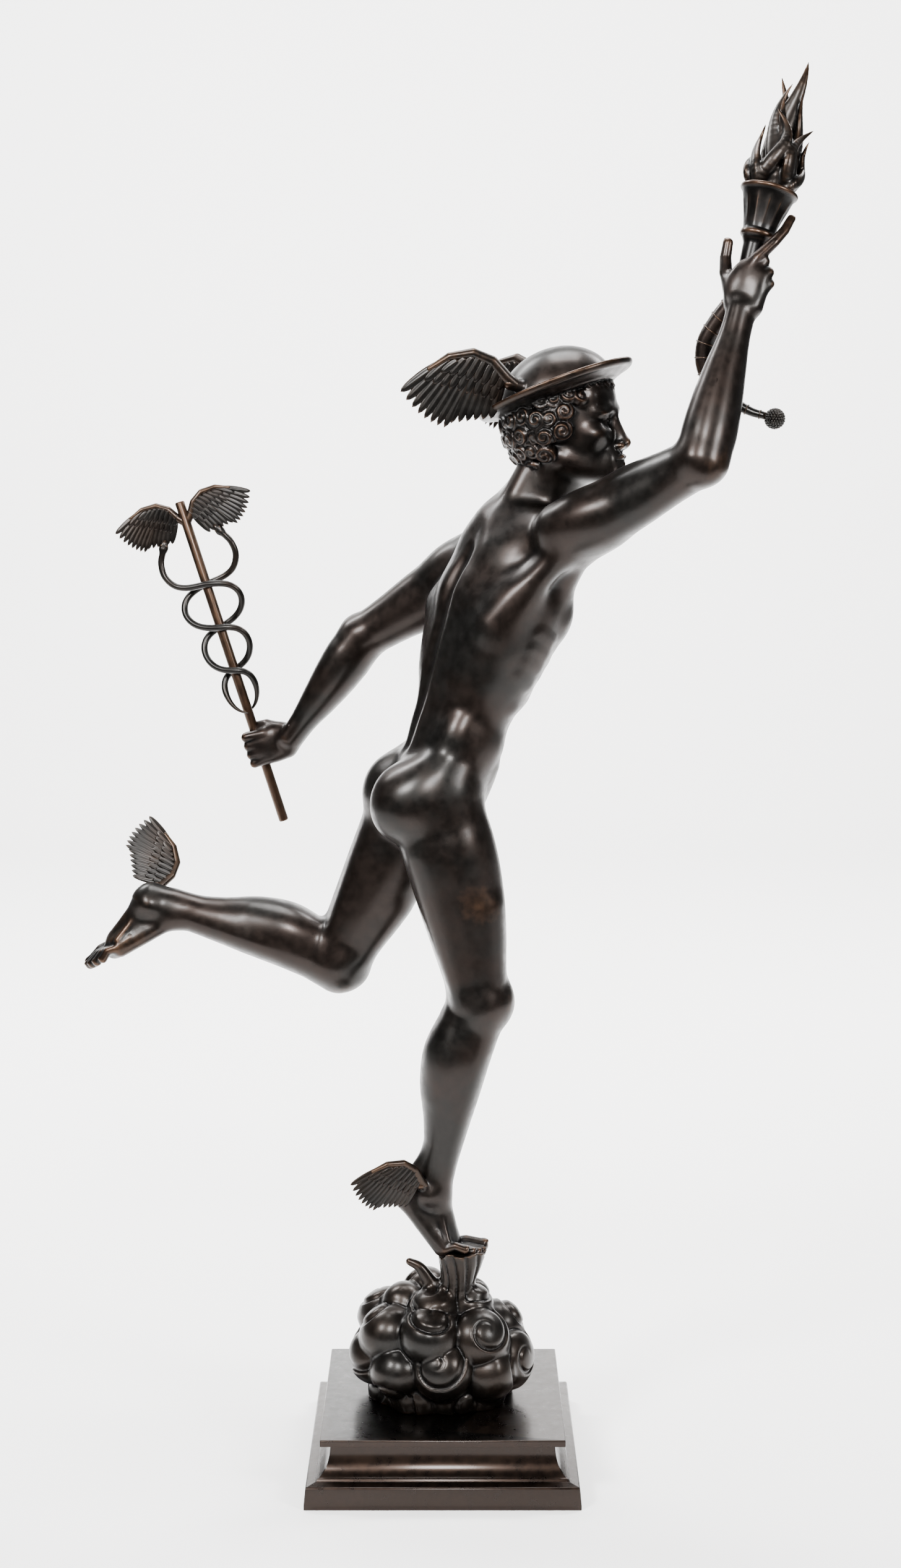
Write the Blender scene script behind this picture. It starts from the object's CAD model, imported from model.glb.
import math
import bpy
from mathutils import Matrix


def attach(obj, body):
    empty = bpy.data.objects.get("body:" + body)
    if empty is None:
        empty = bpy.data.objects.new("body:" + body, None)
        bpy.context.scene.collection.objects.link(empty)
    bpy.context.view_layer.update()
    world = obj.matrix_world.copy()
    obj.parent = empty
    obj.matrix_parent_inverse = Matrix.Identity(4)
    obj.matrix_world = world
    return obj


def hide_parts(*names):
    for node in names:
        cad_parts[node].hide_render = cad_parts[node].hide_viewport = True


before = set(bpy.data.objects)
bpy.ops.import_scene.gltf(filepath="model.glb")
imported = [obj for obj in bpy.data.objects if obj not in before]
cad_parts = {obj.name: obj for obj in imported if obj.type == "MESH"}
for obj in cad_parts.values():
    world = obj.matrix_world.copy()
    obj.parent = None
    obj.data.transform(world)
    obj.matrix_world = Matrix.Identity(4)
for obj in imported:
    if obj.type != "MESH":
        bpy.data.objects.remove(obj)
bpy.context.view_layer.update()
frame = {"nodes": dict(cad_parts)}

from concurrent.futures import ThreadPoolExecutor

import bmesh
import bpy
import numpy as np
from mathutils import Vector


# One small function for any node, and colours as hex

def addNode(tree, kind, sockets=None, **settings):
    # each socket is given a value or another node's output
    node = tree.nodes.new(kind)
    for name, value in settings.items():
        setattr(node, name, value)
    for key, value in (sockets or {}).items():
        if isinstance(value, bpy.types.NodeSocket):
            tree.links.new(value, node.inputs[key])
        else:
            node.inputs[key].default_value = value
    return node


def hexColour(code):
    # sRGB hex to the linear colour that Blender mixes in
    parts = [int(code[i:i + 2], 16) / 255 for i in (1, 3, 5)]
    return [p / 12.92 if p <= 0.04045 else ((p + 0.055) / 1.055) ** 2.4 for p in parts] + [1.0]


# Bronze finishes

darkBronze = {
    "hollow": "#080605", "skin": "#1e1612", "cool": "#171513", "crest": "#3b291c",
    "crestFrom": 0.72, "crestTo": 1.05, "hollowFrom": 0.28, "hollowTo": 0.50, "metal": 0.9,
    "roughness": (0.30, 0.46), "wax": 0.22, "waxRoughness": 0.26,
    "patchMm": 90, "mottleMm": 13, "pitMm": 1.8, "pitDepthMm": 0.08, "brushed": False,
    # where on the noise a patch fades in and the gloss turns, and how far the mottle breaks up the wear
    "patchEdge": (0.42, 0.60), "glossEdge": (0.35, 0.65), "breakUp": 0.35,
    "brushMm": 0.9, "brushStretch": (0.03, 0.03, 1.0), "bump": 0.6,
}
rubbedBronze = dict(darkBronze, skin="#1d1611", crest="#3d2b1d", crestFrom=0.68, crestTo=1.10)
scaledBronze = dict(darkBronze, skin="#1f1813", crest="#3f2e20", scaleMm=2.4)
plinthBronze = dict(darkBronze, skin="#120e0c", cool="#0f0d0c", crest="#231913", metal=0.95, wax=0.28,
                    waxRoughness=0.18, roughness=(0.26, 0.38), pitDepthMm=0.04, brushed=True)


def patinated(name, look):
    # Cast bronze, chemically browned to near black and waxed: a dark metal whose soft wide
    # highlights are milky where the wax lies thick, and whose crests are rubbed back to brown
    material = bpy.data.materials.new(name)
    material.use_nodes = True
    tree = material.node_tree
    shader = tree.nodes["Principled BSDF"]
    where = addNode(tree, "ShaderNodeTexCoord").outputs["Object"]
    relief = addNode(tree, "ShaderNodeAttribute", attribute_name="relief").outputs["Fac"]

    def noise(sizeMm, detail, at=where):
        # a noise whose blotches are about sizeMm across
        return addNode(tree, "ShaderNodeTexNoise", {"Vector": at, "Scale": 1000 / sizeMm, "Detail": detail,
                                                    "Roughness": 0.55}).outputs["Fac"]

    patch = noise(look["patchMm"], 3)
    mottle = noise(look["mottleMm"], 4)
    pits = noise(look["pitMm"], 2)
    blend = addNode(tree, "ShaderNodeMapRange", {"Value": patch, "From Min": look["patchEdge"][0],
                                                 "From Max": look["patchEdge"][1]})
    skinColour = addNode(tree, "ShaderNodeMix", {
        "Factor": blend.outputs["Result"], "A": hexColour(look["skin"]), "B": hexColour(look["cool"])},
        data_type="RGBA")
    broken = addNode(tree, "ShaderNodeMath", {0: mottle, 1: look["breakUp"], 2: -look["breakUp"] / 2},
                     operation="MULTIPLY_ADD")
    worn = addNode(tree, "ShaderNodeMath", {0: relief, 1: broken.outputs[0]}, operation="ADD")
    rubbed = addNode(tree, "ShaderNodeMapRange", {"Value": worn.outputs[0], "From Min": look["crestFrom"],
                                                  "From Max": look["crestTo"]})
    sunk = addNode(tree, "ShaderNodeMapRange", {"Value": relief, "From Min": look["hollowFrom"],
                                                "From Max": look["hollowTo"]})
    low = addNode(tree, "ShaderNodeMix", {"Factor": sunk.outputs["Result"], "A": hexColour(look["hollow"])},
                  data_type="RGBA")
    tree.links.new(skinColour.outputs["Result"], low.inputs["B"])
    full = addNode(tree, "ShaderNodeMix", {"Factor": rubbed.outputs["Result"], "B": hexColour(look["crest"])},
                   data_type="RGBA")
    tree.links.new(low.outputs["Result"], full.inputs["A"])
    tree.links.new(full.outputs["Result"], shader.inputs["Base Color"])
    gloss = addNode(tree, "ShaderNodeMapRange", {
        "Value": mottle, "From Min": look["glossEdge"][0], "From Max": look["glossEdge"][1],
        "To Min": look["roughness"][0], "To Max": look["roughness"][1]})
    tree.links.new(gloss.outputs["Result"], shader.inputs["Roughness"])
    shader.inputs["Metallic"].default_value = look["metal"]
    shader.inputs["Coat Weight"].default_value = look["wax"]
    shader.inputs["Coat Roughness"].default_value = look["waxRoughness"]
    height = pits
    if look["brushed"]:
        # brush strokes run level round the sides and along the top
        stretched = addNode(tree, "ShaderNodeVectorMath", {0: where, 1: look["brushStretch"]},
                            operation="MULTIPLY")
        height = noise(look["brushMm"], 2, stretched.outputs[0])
    if look.get("scaleMm"):
        cells = addNode(tree, "ShaderNodeTexVoronoi", {"Vector": where, "Scale": 1000 / look["scaleMm"]})
        height = cells.outputs["Distance"]
    bump = addNode(tree, "ShaderNodeBump", {"Height": height, "Strength": look["bump"],
                                            "Distance": look["pitDepthMm"] / 1000})
    tree.links.new(bump.outputs["Normal"], shader.inputs["Normal"])
    return material


patina = patinated("Waxed near-black cast bronze", darkBronze)
rubbed = patinated("Cast bronze rubbed brown on its crests", rubbedBronze)
scaled = patinated("Chased scaly bronze", scaledBronze)
blackened = patinated("Brushed black bronze", plinthBronze)
print("finishes made")


# Vectors and frames: an origin and three rows, right, front and up

def vec(*v):
    return np.array(v, float)

def unit(v):
    v = np.asarray(v, float)
    return v / np.linalg.norm(v)

def joint(name):
    return vec(*body["joints"][name])

def frameOf(origin, up, right):
    up = unit(up)
    right = np.asarray(right, float)
    right = unit(right - up * np.dot(right, up))
    return np.asarray(origin, float), np.array([right, np.cross(up, right), up])

def place(frame, point):
    return frame[0] + np.asarray(point, float) @ frame[1]

def sideName(s):
    return "Right" if s > 0 else "Left"


def smoothTable(stations, steps=96):
    # A smooth curve through rows of a place and its values, read at even steps
    rows = np.asarray(stations, float)
    at = rows[:, 0]
    values = rows[:, 1:]
    slope = np.gradient(values, at, axis=0)
    out = []
    for q in np.linspace(at[0], at[-1], steps + 1):
        i = min(max(np.searchsorted(at, q) - 1, 0), len(at) - 2)
        h = at[i + 1] - at[i]
        u = (q - at[i]) / h
        rise = 3 * u ** 2 - 2 * u ** 3
        out.append((1 - rise) * values[i] + rise * values[i + 1]
                   + (u ** 3 - 2 * u ** 2 + u) * h * slope[i] + (u ** 3 - u ** 2) * h * slope[i + 1])
    return np.array(out)

# Forms: each gives a distance, negative inside it, and blended forms melt together

margin = 0.006  # the reach kept round every form

class Form:
    def __init__(self, low, high, distance, blend, cut=False):
        self.low = np.asarray(low, float)
        self.high = np.asarray(high, float)
        self.distance = distance
        self.blend = blend
        self.cut = cut

def smoothMin(a, b, k):
    if k <= 0:
        return np.minimum(a, b)
    h = np.maximum(k - np.abs(a - b), 0) / k
    return np.minimum(a, b) - h * h * (k * 0.25)

def turnedInto(rows, origin, x, y, z):
    dx = x - origin[0]
    dy = y - origin[1]
    dz = z - origin[2]
    return [dx * r[0] + dy * r[1] + dz * r[2] for r in rows]

def ellipsoid(q, r):
    # nearly the distance to an ellipsoid round the origin
    k0 = np.sqrt(sum((q[i] / r[i]) ** 2 for i in range(3)))
    k1 = np.sqrt(sum((q[i] / r[i] ** 2) ** 2 for i in range(3))) + 1e-6
    return k0 * (k0 - 1) / k1


def blob(frame, at, radii, blend=0.01, cut=False, groove=None):
    # an ellipsoid placed and sized along the frame's right, front and up; groove carves it
    centre = place(frame, at)
    rows = frame[1]
    r = np.asarray(radii, float) if np.ndim(radii) else np.full(3, float(radii))
    reach = np.sqrt(((rows * r[:, None]) ** 2).sum(0)) + blend + margin

    def distance(x, y, z):
        q = turnedInto(rows, centre, x, y, z)
        return ellipsoid(q, r) if groove is None else ellipsoid(q, r) + groove(*q)

    return Form(centre - reach, centre + reach, distance, blend, cut)


def strand(a, b, ra, rb, blend=0.01, bulge=0.0, flat=1.0, normal=None, cut=False):
    # A tapered round from a to b, swollen in its middle by bulge and thinned along normal by flat
    a = np.asarray(a, float)
    b = np.asarray(b, float)
    along = b - a
    reach = max(ra, rb) + bulge + blend + margin
    thin = None if normal is None else unit(normal)

    def distance(x, y, z):
        dx = x - a[0]
        dy = y - a[1]
        dz = z - a[2]
        t = np.clip((dx * along[0] + dy * along[1] + dz * along[2]) / (along @ along), 0, 1)
        qx = dx - t * along[0]
        qy = dy - t * along[1]
        qz = dz - t * along[2]
        r = ra + t * (rb - ra) + bulge * np.sin(t * math.pi)
        d2 = qx * qx + qy * qy + qz * qz
        if thin is None:
            return np.sqrt(d2) - r
        qn = qx * thin[0] + qy * thin[1] + qz * thin[2]
        return (np.sqrt(d2 + qn * qn * (1 / flat ** 2 - 1)) - r) * max(flat, 0.45)

    return Form(np.minimum(a, b) - reach, np.maximum(a, b) + reach, distance, blend, cut)

def chain(points, radii, blend, cut=False, **shape):
    # strands end to end, each shaped alike
    links = [strand(points[i], points[i + 1], radii[i], radii[i + 1], 0, **shape)
             for i in range(len(points) - 1)]

    def distance(x, y, z):
        d = links[0].distance(x, y, z)
        for link in links[1:]:
            d = np.minimum(d, link.distance(x, y, z))
        return d

    low = np.min([link.low for link in links], 0) - blend
    high = np.max([link.high for link in links], 0) + blend
    return Form(low, high, distance, blend, cut)


def cord(points, radii, blend=0.01, cut=False):
    # a round chain; its tip is kept for a nail
    if not np.ndim(radii):
        radii = [radii] * len(points)
    form = chain(points, radii, blend, cut)
    form.tip = (points[-1], points[-2], radii[-1])
    return form


def clearance(forms, gap):
    # Cuts away whatever lies within gap of the forms
    solids = [f for f in forms if not f.cut]

    def distance(x, y, z):
        d = solids[0].distance(x, y, z)
        for f in solids[1:]:
            d = smoothMin(d, f.distance(x, y, z), f.blend)
        return d - gap

    low = np.min([f.low for f in solids], 0) - gap
    high = np.max([f.high for f in solids], 0) + gap
    return Form(low, high, distance, 0.0, True)

def limb(a, b, front, stations, blend, s):
    # A limb whose section differs to the front, back, outer and inner side; s is 1 on the right
    length = float(np.linalg.norm(b - a))
    axis = (b - a) / length
    front = unit(front - axis * (front @ axis))
    outer = np.cross(axis, front) * -s
    table = smoothTable(stations)
    last = len(table) - 1
    reach = float(np.max(table)) + blend + margin

    def distance(x, y, z):
        along, fr, ou = turnedInto((axis, front, outer), a, x, y, z)
        u = np.clip(along / length, 0, 1) * last
        i = np.minimum(u.astype(np.int32), last - 1)
        w = u - i
        half = [table[i, c] + (table[i + 1, c] - table[i, c]) * w for c in range(4)]
        ry = np.where(fr > 0, half[0], half[1])
        rx = np.where(ou > 0, half[2], half[3])
        over = np.maximum(np.maximum(-along, along - length), 0)
        return ellipsoid((fr, ou, over), (ry, rx, (rx + ry) * 0.45))

    return Form(np.minimum(a, b) - reach, np.maximum(a, b) + reach, distance, blend)

# Skinning: a lattice of distances, with one point in each cell that the surface crosses

corners = np.array([[i, j, k] for i in (0, 1) for j in (0, 1) for k in (0, 1)])
cellEdges = [(a, b) for a in range(8) for b in range(a + 1, 8) if np.abs(corners[a] - corners[b]).sum() == 1]
block = 48
farAway = 0.5  # a distance greater than any form's reach


def lattice(forms, lowCell, voxel):
    # distances on one block's points; a form counts only near its own box
    field = np.full((block + 2,) * 3, farAway, np.float32)
    highCell = lowCell + block + 1
    touched = False
    for form in forms:
        start = np.maximum(np.floor(form.low / voxel).astype(int), lowCell)
        stop = np.minimum(np.ceil(form.high / voxel).astype(int), highCell)
        if np.any(start > stop):
            continue
        touched = touched or not form.cut
        axes = [(np.arange(start[d], stop[d] + 1) * voxel).astype(np.float32) for d in range(3)]
        region = tuple(slice(start[d] - lowCell[d], stop[d] - lowCell[d] + 1) for d in range(3))
        d = form.distance(axes[0][:, None, None], axes[1][None, :, None], axes[2][None, None, :])
        if form.cut:
            field[region] = -smoothMin(-field[region], d, form.blend)
        else:
            field[region] = smoothMin(field[region], d, form.blend)
    return field if touched else None


def crossingPoints(field, cells, lowCell, voxel):
    values = np.stack([field[tuple((cells + c).T)] for c in corners], 1)
    total = np.zeros((len(cells), 3))
    count = np.zeros(len(cells))
    for a, b in cellEdges:
        va = values[:, a]
        vb = values[:, b]
        crossed = (va < 0) != (vb < 0)
        t = np.where(crossed, va / np.where(crossed, va - vb, 1), 0)
        point = corners[a] + t[:, None] * (corners[b] - corners[a])
        total += np.where(crossed[:, None], point, 0)
        count += crossed
    return (cells + lowCell + total / count[:, None]) * voxel

def crossingQuads(inside, lowCell, keyOf):
    # One quad round each lattice edge that the surface crosses, for the points this block owns
    quads = []
    for axis in range(3):
        first = np.eye(3, dtype=int)[(axis + 1) % 3]
        second = np.eye(3, dtype=int)[(axis + 2) % 3]
        here = [slice(1, block + 1)] * 3
        there = list(here)
        there[axis] = slice(2, block + 2)
        a = inside[tuple(here)]
        b = inside[tuple(there)]
        found = np.nonzero(a != b)
        p = np.stack(found, 1) + 1 + lowCell
        q = np.stack([keyOf(p - first - second), keyOf(p - second), keyOf(p), keyOf(p - first)], 1)
        outward = ~a[found]
        q[outward] = q[outward][:, ::-1]
        quads.append(q)
    return np.concatenate(quads)

def skin(forms, voxel):
    solids = [f for f in forms if not f.cut]
    base = np.floor(np.min([f.low for f in solids], 0) / voxel).astype(int) - 1
    top = np.ceil(np.max([f.high for f in solids], 0) / voxel).astype(int) + 1
    span = (top - base + 3).astype(np.int64)

    def keyOf(cells):
        c = (cells - base + 1).astype(np.int64)
        return (c[:, 0] * span[1] + c[:, 1]) * span[2] + c[:, 2]

    def oneBlock(start):
        lowCell = np.array(start) - 1
        field = lattice(forms, lowCell, voxel)
        if field is None or (field < 0).all() or (field >= 0).all():
            return None
        inside = field < 0
        count = sum(inside[tuple(slice(d, block + 1 + d) for d in c)].astype(np.int8) for c in corners)
        cells = np.stack(np.nonzero((count > 0) & (count < 8)), 1)
        if len(cells) == 0:
            return None
        points = crossingPoints(field, cells, lowCell, voxel)
        return keyOf(cells + lowCell), points, crossingQuads(inside, lowCell, keyOf)

    starts = [(x, y, z) for x in range(base[0], top[0], block) for y in range(base[1], top[1], block)
              for z in range(base[2], top[2], block)]
    with ThreadPoolExecutor(4) as workers:
        found = [f for f in workers.map(oneBlock, starts) if f is not None]
    keys, first = np.unique(np.concatenate([f[0] for f in found]), return_index=True)
    points = np.concatenate([f[1] for f in found])[first]
    return points, np.searchsorted(keys, np.concatenate([f[2] for f in found]))


# Meshes

def addObject(name, mesh):
    thing = bpy.data.objects.new(name, mesh)
    bpy.context.scene.collection.objects.link(thing)
    return thing


def meshOf(name, points, polygons):
    # a mesh from numpy rows of points and of equal polygons
    mesh = bpy.data.meshes.new(name)
    mesh.vertices.add(len(points))
    mesh.vertices.foreach_set("co", np.asarray(points, np.float32).ravel())
    sides = polygons.shape[1]
    mesh.loops.add(len(polygons) * sides)
    mesh.loops.foreach_set("vertex_index", polygons.astype(np.int32).ravel())
    mesh.polygons.add(len(polygons))
    mesh.polygons.foreach_set("loop_start", np.arange(0, len(polygons) * sides, sides, dtype=np.int32))
    mesh.update(calc_edges=True)
    return mesh


def rowsOf(data, what, width, kind=np.float32):
    # a mesh's numbers as numpy rows
    values = np.empty(len(data) * width, kind)
    data.foreach_get(what, values)
    return values.reshape(-1, width)


def storeRow(mesh, title, values):
    # a named number or vector for each point
    values = np.asarray(values, np.float32)
    wide = values.ndim == 2
    store = mesh.attributes.new(title, "FLOAT_VECTOR" if wide else "FLOAT", "POINT")
    store.data.foreach_set("vector" if wide else "value", values.ravel())


def linkCount(a, b, count):
    return np.bincount(a, minlength=count) + np.bincount(b, minlength=count)


def linkedMean(points, a, b, links):
    # for each point, the mean of the points that it is linked to
    count = len(points)
    return np.stack([(np.bincount(a, points[b, k], count) + np.bincount(b, points[a, k], count)) / links
                     for k in range(3)], 1)


def markRelief(mesh, reach, passes):
    # stores how proud (over 0.5) or sunk each point is, measured against its smoothed self
    points = rowsOf(mesh.vertices, "co", 3).astype(float)
    facing = rowsOf(mesh.vertex_normals, "vector", 3)
    a, b = rowsOf(mesh.edges, "vertices", 2, np.int32).T
    links = np.maximum(linkCount(a, b, len(points)), 1)
    soft = points
    for _ in range(passes):
        soft = linkedMean(soft, a, b, links)
    proud = ((points - soft) * facing).sum(1) / reach
    storeRow(mesh, "relief", 0.5 + 0.5 * np.clip(proud, -1, 1))


def baked(thing):
    # the object's mesh with its modifiers worked in, and the modifiers removed
    graph = bpy.context.evaluated_depsgraph_get()
    mesh = bpy.data.meshes.new_from_object(thing.evaluated_get(graph))
    thing.modifiers.clear()
    thing.data = mesh
    return thing


def soften(points, quads, crisp, fineness):
    # eases seams out of the skin without shrinking it, except near the crisp places
    a = quads.ravel()
    b = np.roll(quads, -1, axis=1).ravel()
    links = linkCount(a, b, len(points))
    ease = np.ones(len(points))
    for centre, radius in crisp:
        ease *= np.clip((np.linalg.norm(points - centre, axis=1) - radius) / fineness["easeEdge"], 0, 1)
    for _ in range(fineness["easePasses"]):
        for pull in fineness["easePulls"]:
            points = points + (linkedMean(points, a, b, links) - points) * (ease * pull)[:, None]
    return points


def wear(mesh, places):
    # handled places lose their dark skin: each is a centre, a radius and how far it is worn
    relief = mesh.attributes["relief"].data
    values = rowsOf(relief, "value", 1).ravel()
    points = rowsOf(mesh.vertices, "co", 3)
    for *centre, radius, amount in places:
        far = np.linalg.norm(points - np.array(centre, np.float32), axis=1) / radius
        values += amount * np.exp(-far * far)
    relief.foreach_set("value", values)


def cast(name, forms, fineness, crisp=None):
    points, quads = skin(forms, fineness["voxel"])
    if crisp:
        points = soften(points, quads, crisp, fineness)
    mesh = meshOf(name, points, quads)
    markRelief(mesh, fineness["relief"], fineness["passes"])
    wear(mesh, fineness.get("worn", []))
    thing = addObject(name, mesh)
    if fineness["triangles"] < 2 * len(quads):
        thin = thing.modifiers.new("thin", "DECIMATE")
        thin.ratio = fineness["triangles"] / (2 * len(quads))
        baked(thing)
    thing.data.shade_smooth()
    print(name, "skinned:", len(quads), "quads, now", len(thing.data.polygons), "faces")
    return thing


def dress(thing, node, material=None):
    # the piece rides on the one body and stands for its CAD node
    if material:
        thing.data.materials.clear()
        thing.data.materials.append(material)
    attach(thing, "root")
    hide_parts(node)


# Geometry nodes

def newTree(name, inputs):
    # a geometry tree with named inputs; returns it, its input node and its output node
    tree = bpy.data.node_groups.new(name, "GeometryNodeTree")
    tree.interface.new_socket("Geometry", in_out="INPUT", socket_type="NodeSocketGeometry")
    for title, kind in inputs:
        tree.interface.new_socket(title, in_out="INPUT", socket_type=kind)
    tree.interface.new_socket("Geometry", in_out="OUTPUT", socket_type="NodeSocketGeometry")
    return tree, addNode(tree, "NodeGroupInput"), addNode(tree, "NodeGroupOutput")


def closeTree(tree, given, result, made, smooth=True):
    # every tree ends alike: real geometry in its finish
    real = addNode(tree, "GeometryNodeRealizeInstances", {"Geometry": made})
    if smooth:
        real = addNode(tree, "GeometryNodeSetShadeSmooth", {"Geometry": real.outputs[0]})
    coated = addNode(tree, "GeometryNodeSetMaterial", {"Geometry": real.outputs[0],
                                                       "Material": given.outputs["Finish"]})
    tree.links.new(coated.outputs[0], result.inputs["Geometry"])
    return tree


def grow(name, mesh, tree, values):
    # runs a tree on a mesh and keeps the plain result
    thing = addObject(name, mesh)
    step = thing.modifiers.new("grow", "NODES")
    step.node_group = tree
    for item in tree.interface.items_tree:
        if item.in_out == "INPUT" and item.name in values:
            step[item.identifier] = values[item.name]
    return baked(thing)


def pointMesh(name, points, edges=(), **rows):
    # points, loose or on edges, that carry named numbers or vectors
    mesh = bpy.data.meshes.new(name)
    mesh.from_pydata([tuple(p) for p in points], edges, [])
    for title, values in rows.items():
        storeRow(mesh, title, values)
    return mesh


def pathMesh(name, points, girth):
    # a line through points that carries its girth
    return pointMesh(name, points, [(i, i + 1) for i in range(len(points) - 1)], girth=girth)


def joined(name, things):
    # one object from several, on the first one's place
    bm = bmesh.new()
    materials = []
    for thing in things:
        first = len(bm.faces)
        bm.from_mesh(thing.data)
        bm.faces.ensure_lookup_table()
        slots = [materials.index(m) if m in materials else materials.append(m) or len(materials) - 1
                 for m in thing.data.materials]
        for face in bm.faces[first:]:
            face.material_index = slots[face.material_index] if slots else 0
    mesh = bpy.data.meshes.new(name)
    bm.to_mesh(mesh)
    bm.free()
    for material in materials:
        mesh.materials.append(material)
    for thing in things:
        bpy.data.objects.remove(thing)
    return addObject(name, mesh)


# The figure's frames

body = {
    "joints": {
        "hipRight": (-0.002, -0.054, 0.893), "hipLeft": (-0.016, 0.050, 0.903),
        "kneeRight": (0.045, -0.040, 0.630), "kneeLeft": (-0.140, 0.066, 0.664),
        "ankleRight": (-0.012, -0.026, 0.372), "ankleLeft": (-0.392, 0.082, 0.738),
        "shoulderRight": (0.160, -0.094, 1.236), "shoulderLeft": (0.052, 0.108, 1.192),
        "elbowRight": (0.308, -0.202, 1.324), "elbowLeft": (-0.110, 0.172, 1.084),
        "wristRight": (0.356, -0.160, 1.500), "wristLeft": (-0.208, 0.190, 0.945),
        "waist": (0.022, 0.002, 0.996), "chest": (0.062, 0.004, 1.110),
        "neck": (0.110, 0.000, 1.245), "head": (0.160, -0.013, 1.365),
    },
    # limb sections: place along, then half-sizes to the front, back, outer and inner side
    "thigh": [
        (0.00, 0.0499, 0.0541, 0.0499, 0.0416), (0.20, 0.0582, 0.0593, 0.0541, 0.052),
        (0.45, 0.0593, 0.053, 0.052, 0.0489), (0.70, 0.052, 0.0437, 0.0458, 0.0437),
        (0.88, 0.0437, 0.0374, 0.0395, 0.0406), (1.00, 0.0416, 0.0354, 0.0374, 0.0385),
    ],
    "shin": [
        (0.00, 0.0399, 0.0363, 0.0385, 0.0385), (0.10, 0.0378, 0.0418, 0.0396, 0.0396),
        (0.28, 0.0326, 0.0539, 0.0428, 0.0439), (0.45, 0.0294, 0.0506, 0.0396, 0.0396),
        (0.65, 0.0252, 0.0341, 0.0289, 0.030), (0.85, 0.0221, 0.0242, 0.0219, 0.0214),
        (1.00, 0.0221, 0.0264, 0.0225, 0.0225),
    ],
    "upperArm": [
        (0.00, 0.0376, 0.0376, 0.0353, 0.0342), (0.25, 0.041, 0.041, 0.0376, 0.0353),
        (0.50, 0.0422, 0.0388, 0.0342, 0.0331), (0.75, 0.0353, 0.0331, 0.0308, 0.0296),
        (1.00, 0.0296, 0.0296, 0.0308, 0.0308),
    ],
    "forearm": [
        (0.00, 0.0294, 0.0294, 0.0316, 0.0316), (0.15, 0.0328, 0.0305, 0.0362, 0.0339),
        (0.32, 0.0316, 0.0282, 0.035, 0.0328), (0.60, 0.0249, 0.0215, 0.0282, 0.0271),
        (0.85, 0.0171, 0.0161, 0.0214, 0.0203), (1.00, 0.0155, 0.015, 0.0209, 0.0198),
    ],
    # trunk sections: place from the seat to the neck, then half-sizes to the front, back and side
    "trunk": [
        (0.00, 0.0367, 0.0474, 0.053), (0.12, 0.053, 0.0597, 0.0877), (0.22, 0.0571, 0.0577, 0.0918),
        (0.32, 0.0581, 0.0494, 0.0877), (0.42, 0.0592, 0.0494, 0.0847), (0.55, 0.0686, 0.0609, 0.0965),
        (0.70, 0.0749, 0.0693, 0.106), (0.82, 0.0686, 0.0693, 0.1018), (0.92, 0.0478, 0.0567, 0.0784),
        (1.00, 0.0333, 0.042, 0.0488),
    ],
    "squareness": 2.3,
    # toes: sideways and forward place of the root, length and thickness, from the great toe out
    "toes": [
        (0.0155, 0.074, 0.041, 0.0095), (0.0030, 0.079, 0.038, 0.0070), (-0.0072, 0.077, 0.034, 0.0066),
        (-0.0160, 0.072, 0.030, 0.0062), (-0.0235, 0.065, 0.026, 0.0058),
    ],
    "toeTrim": 0.0028,  # keeps the trailing foot inside the plain part's box
    "foothold": (0.024, -0.027, 0.2840), "soleCut": (0.06, 0.06, 0.04),
    # the middle and radius of what stays crisp at each foot
    "crispFeet": [((0.006, -0.026, 0.325), 0.070), ((-0.430, 0.082, 0.700), 0.085)],
    "fineness": {"voxel": 0.0015, "triangles": 190000, "relief": 0.0012, "passes": 12,
                 "easePasses": 40, "easePulls": (0.5, -0.515), "easeEdge": 0.03,
                 # x, y, z, radius and depth of the worn places: thigh, both knees, trailing foot, elbow
                 "worn": [(0.050, -0.098, 0.765, 0.034, 0.42), (0.086, -0.046, 0.632, 0.026, 0.30),
                          (-0.132, 0.058, 0.626, 0.030, 0.30), (-0.430, 0.072, 0.700, 0.040, 0.34),
                          (0.335, -0.226, 1.320, 0.026, 0.30)]},
}
head = {"turn": -20.0, "lift": 7.0, "scale": 1.12}
trunkSteps = 120


def headFrame():
    turn = math.radians(head["turn"])
    lift = math.radians(head["lift"])
    front = vec(math.cos(lift) * math.cos(turn), math.cos(lift) * math.sin(turn), math.sin(lift))
    right = unit(vec(math.sin(turn), -math.cos(turn), 0.0))
    return joint("head"), np.array([right, front, np.cross(right, front)])

def pelvisFrame():
    middle = (joint("hipRight") + joint("hipLeft")) / 2
    return frameOf(middle, vec(0.20, 0.0, 0.98), joint("hipRight") - joint("hipLeft"))

def chestFrame():
    across = joint("shoulderRight") - joint("shoulderLeft")
    return frameOf(joint("chest"), vec(0.30, 0.02, 0.955), across)

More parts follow.
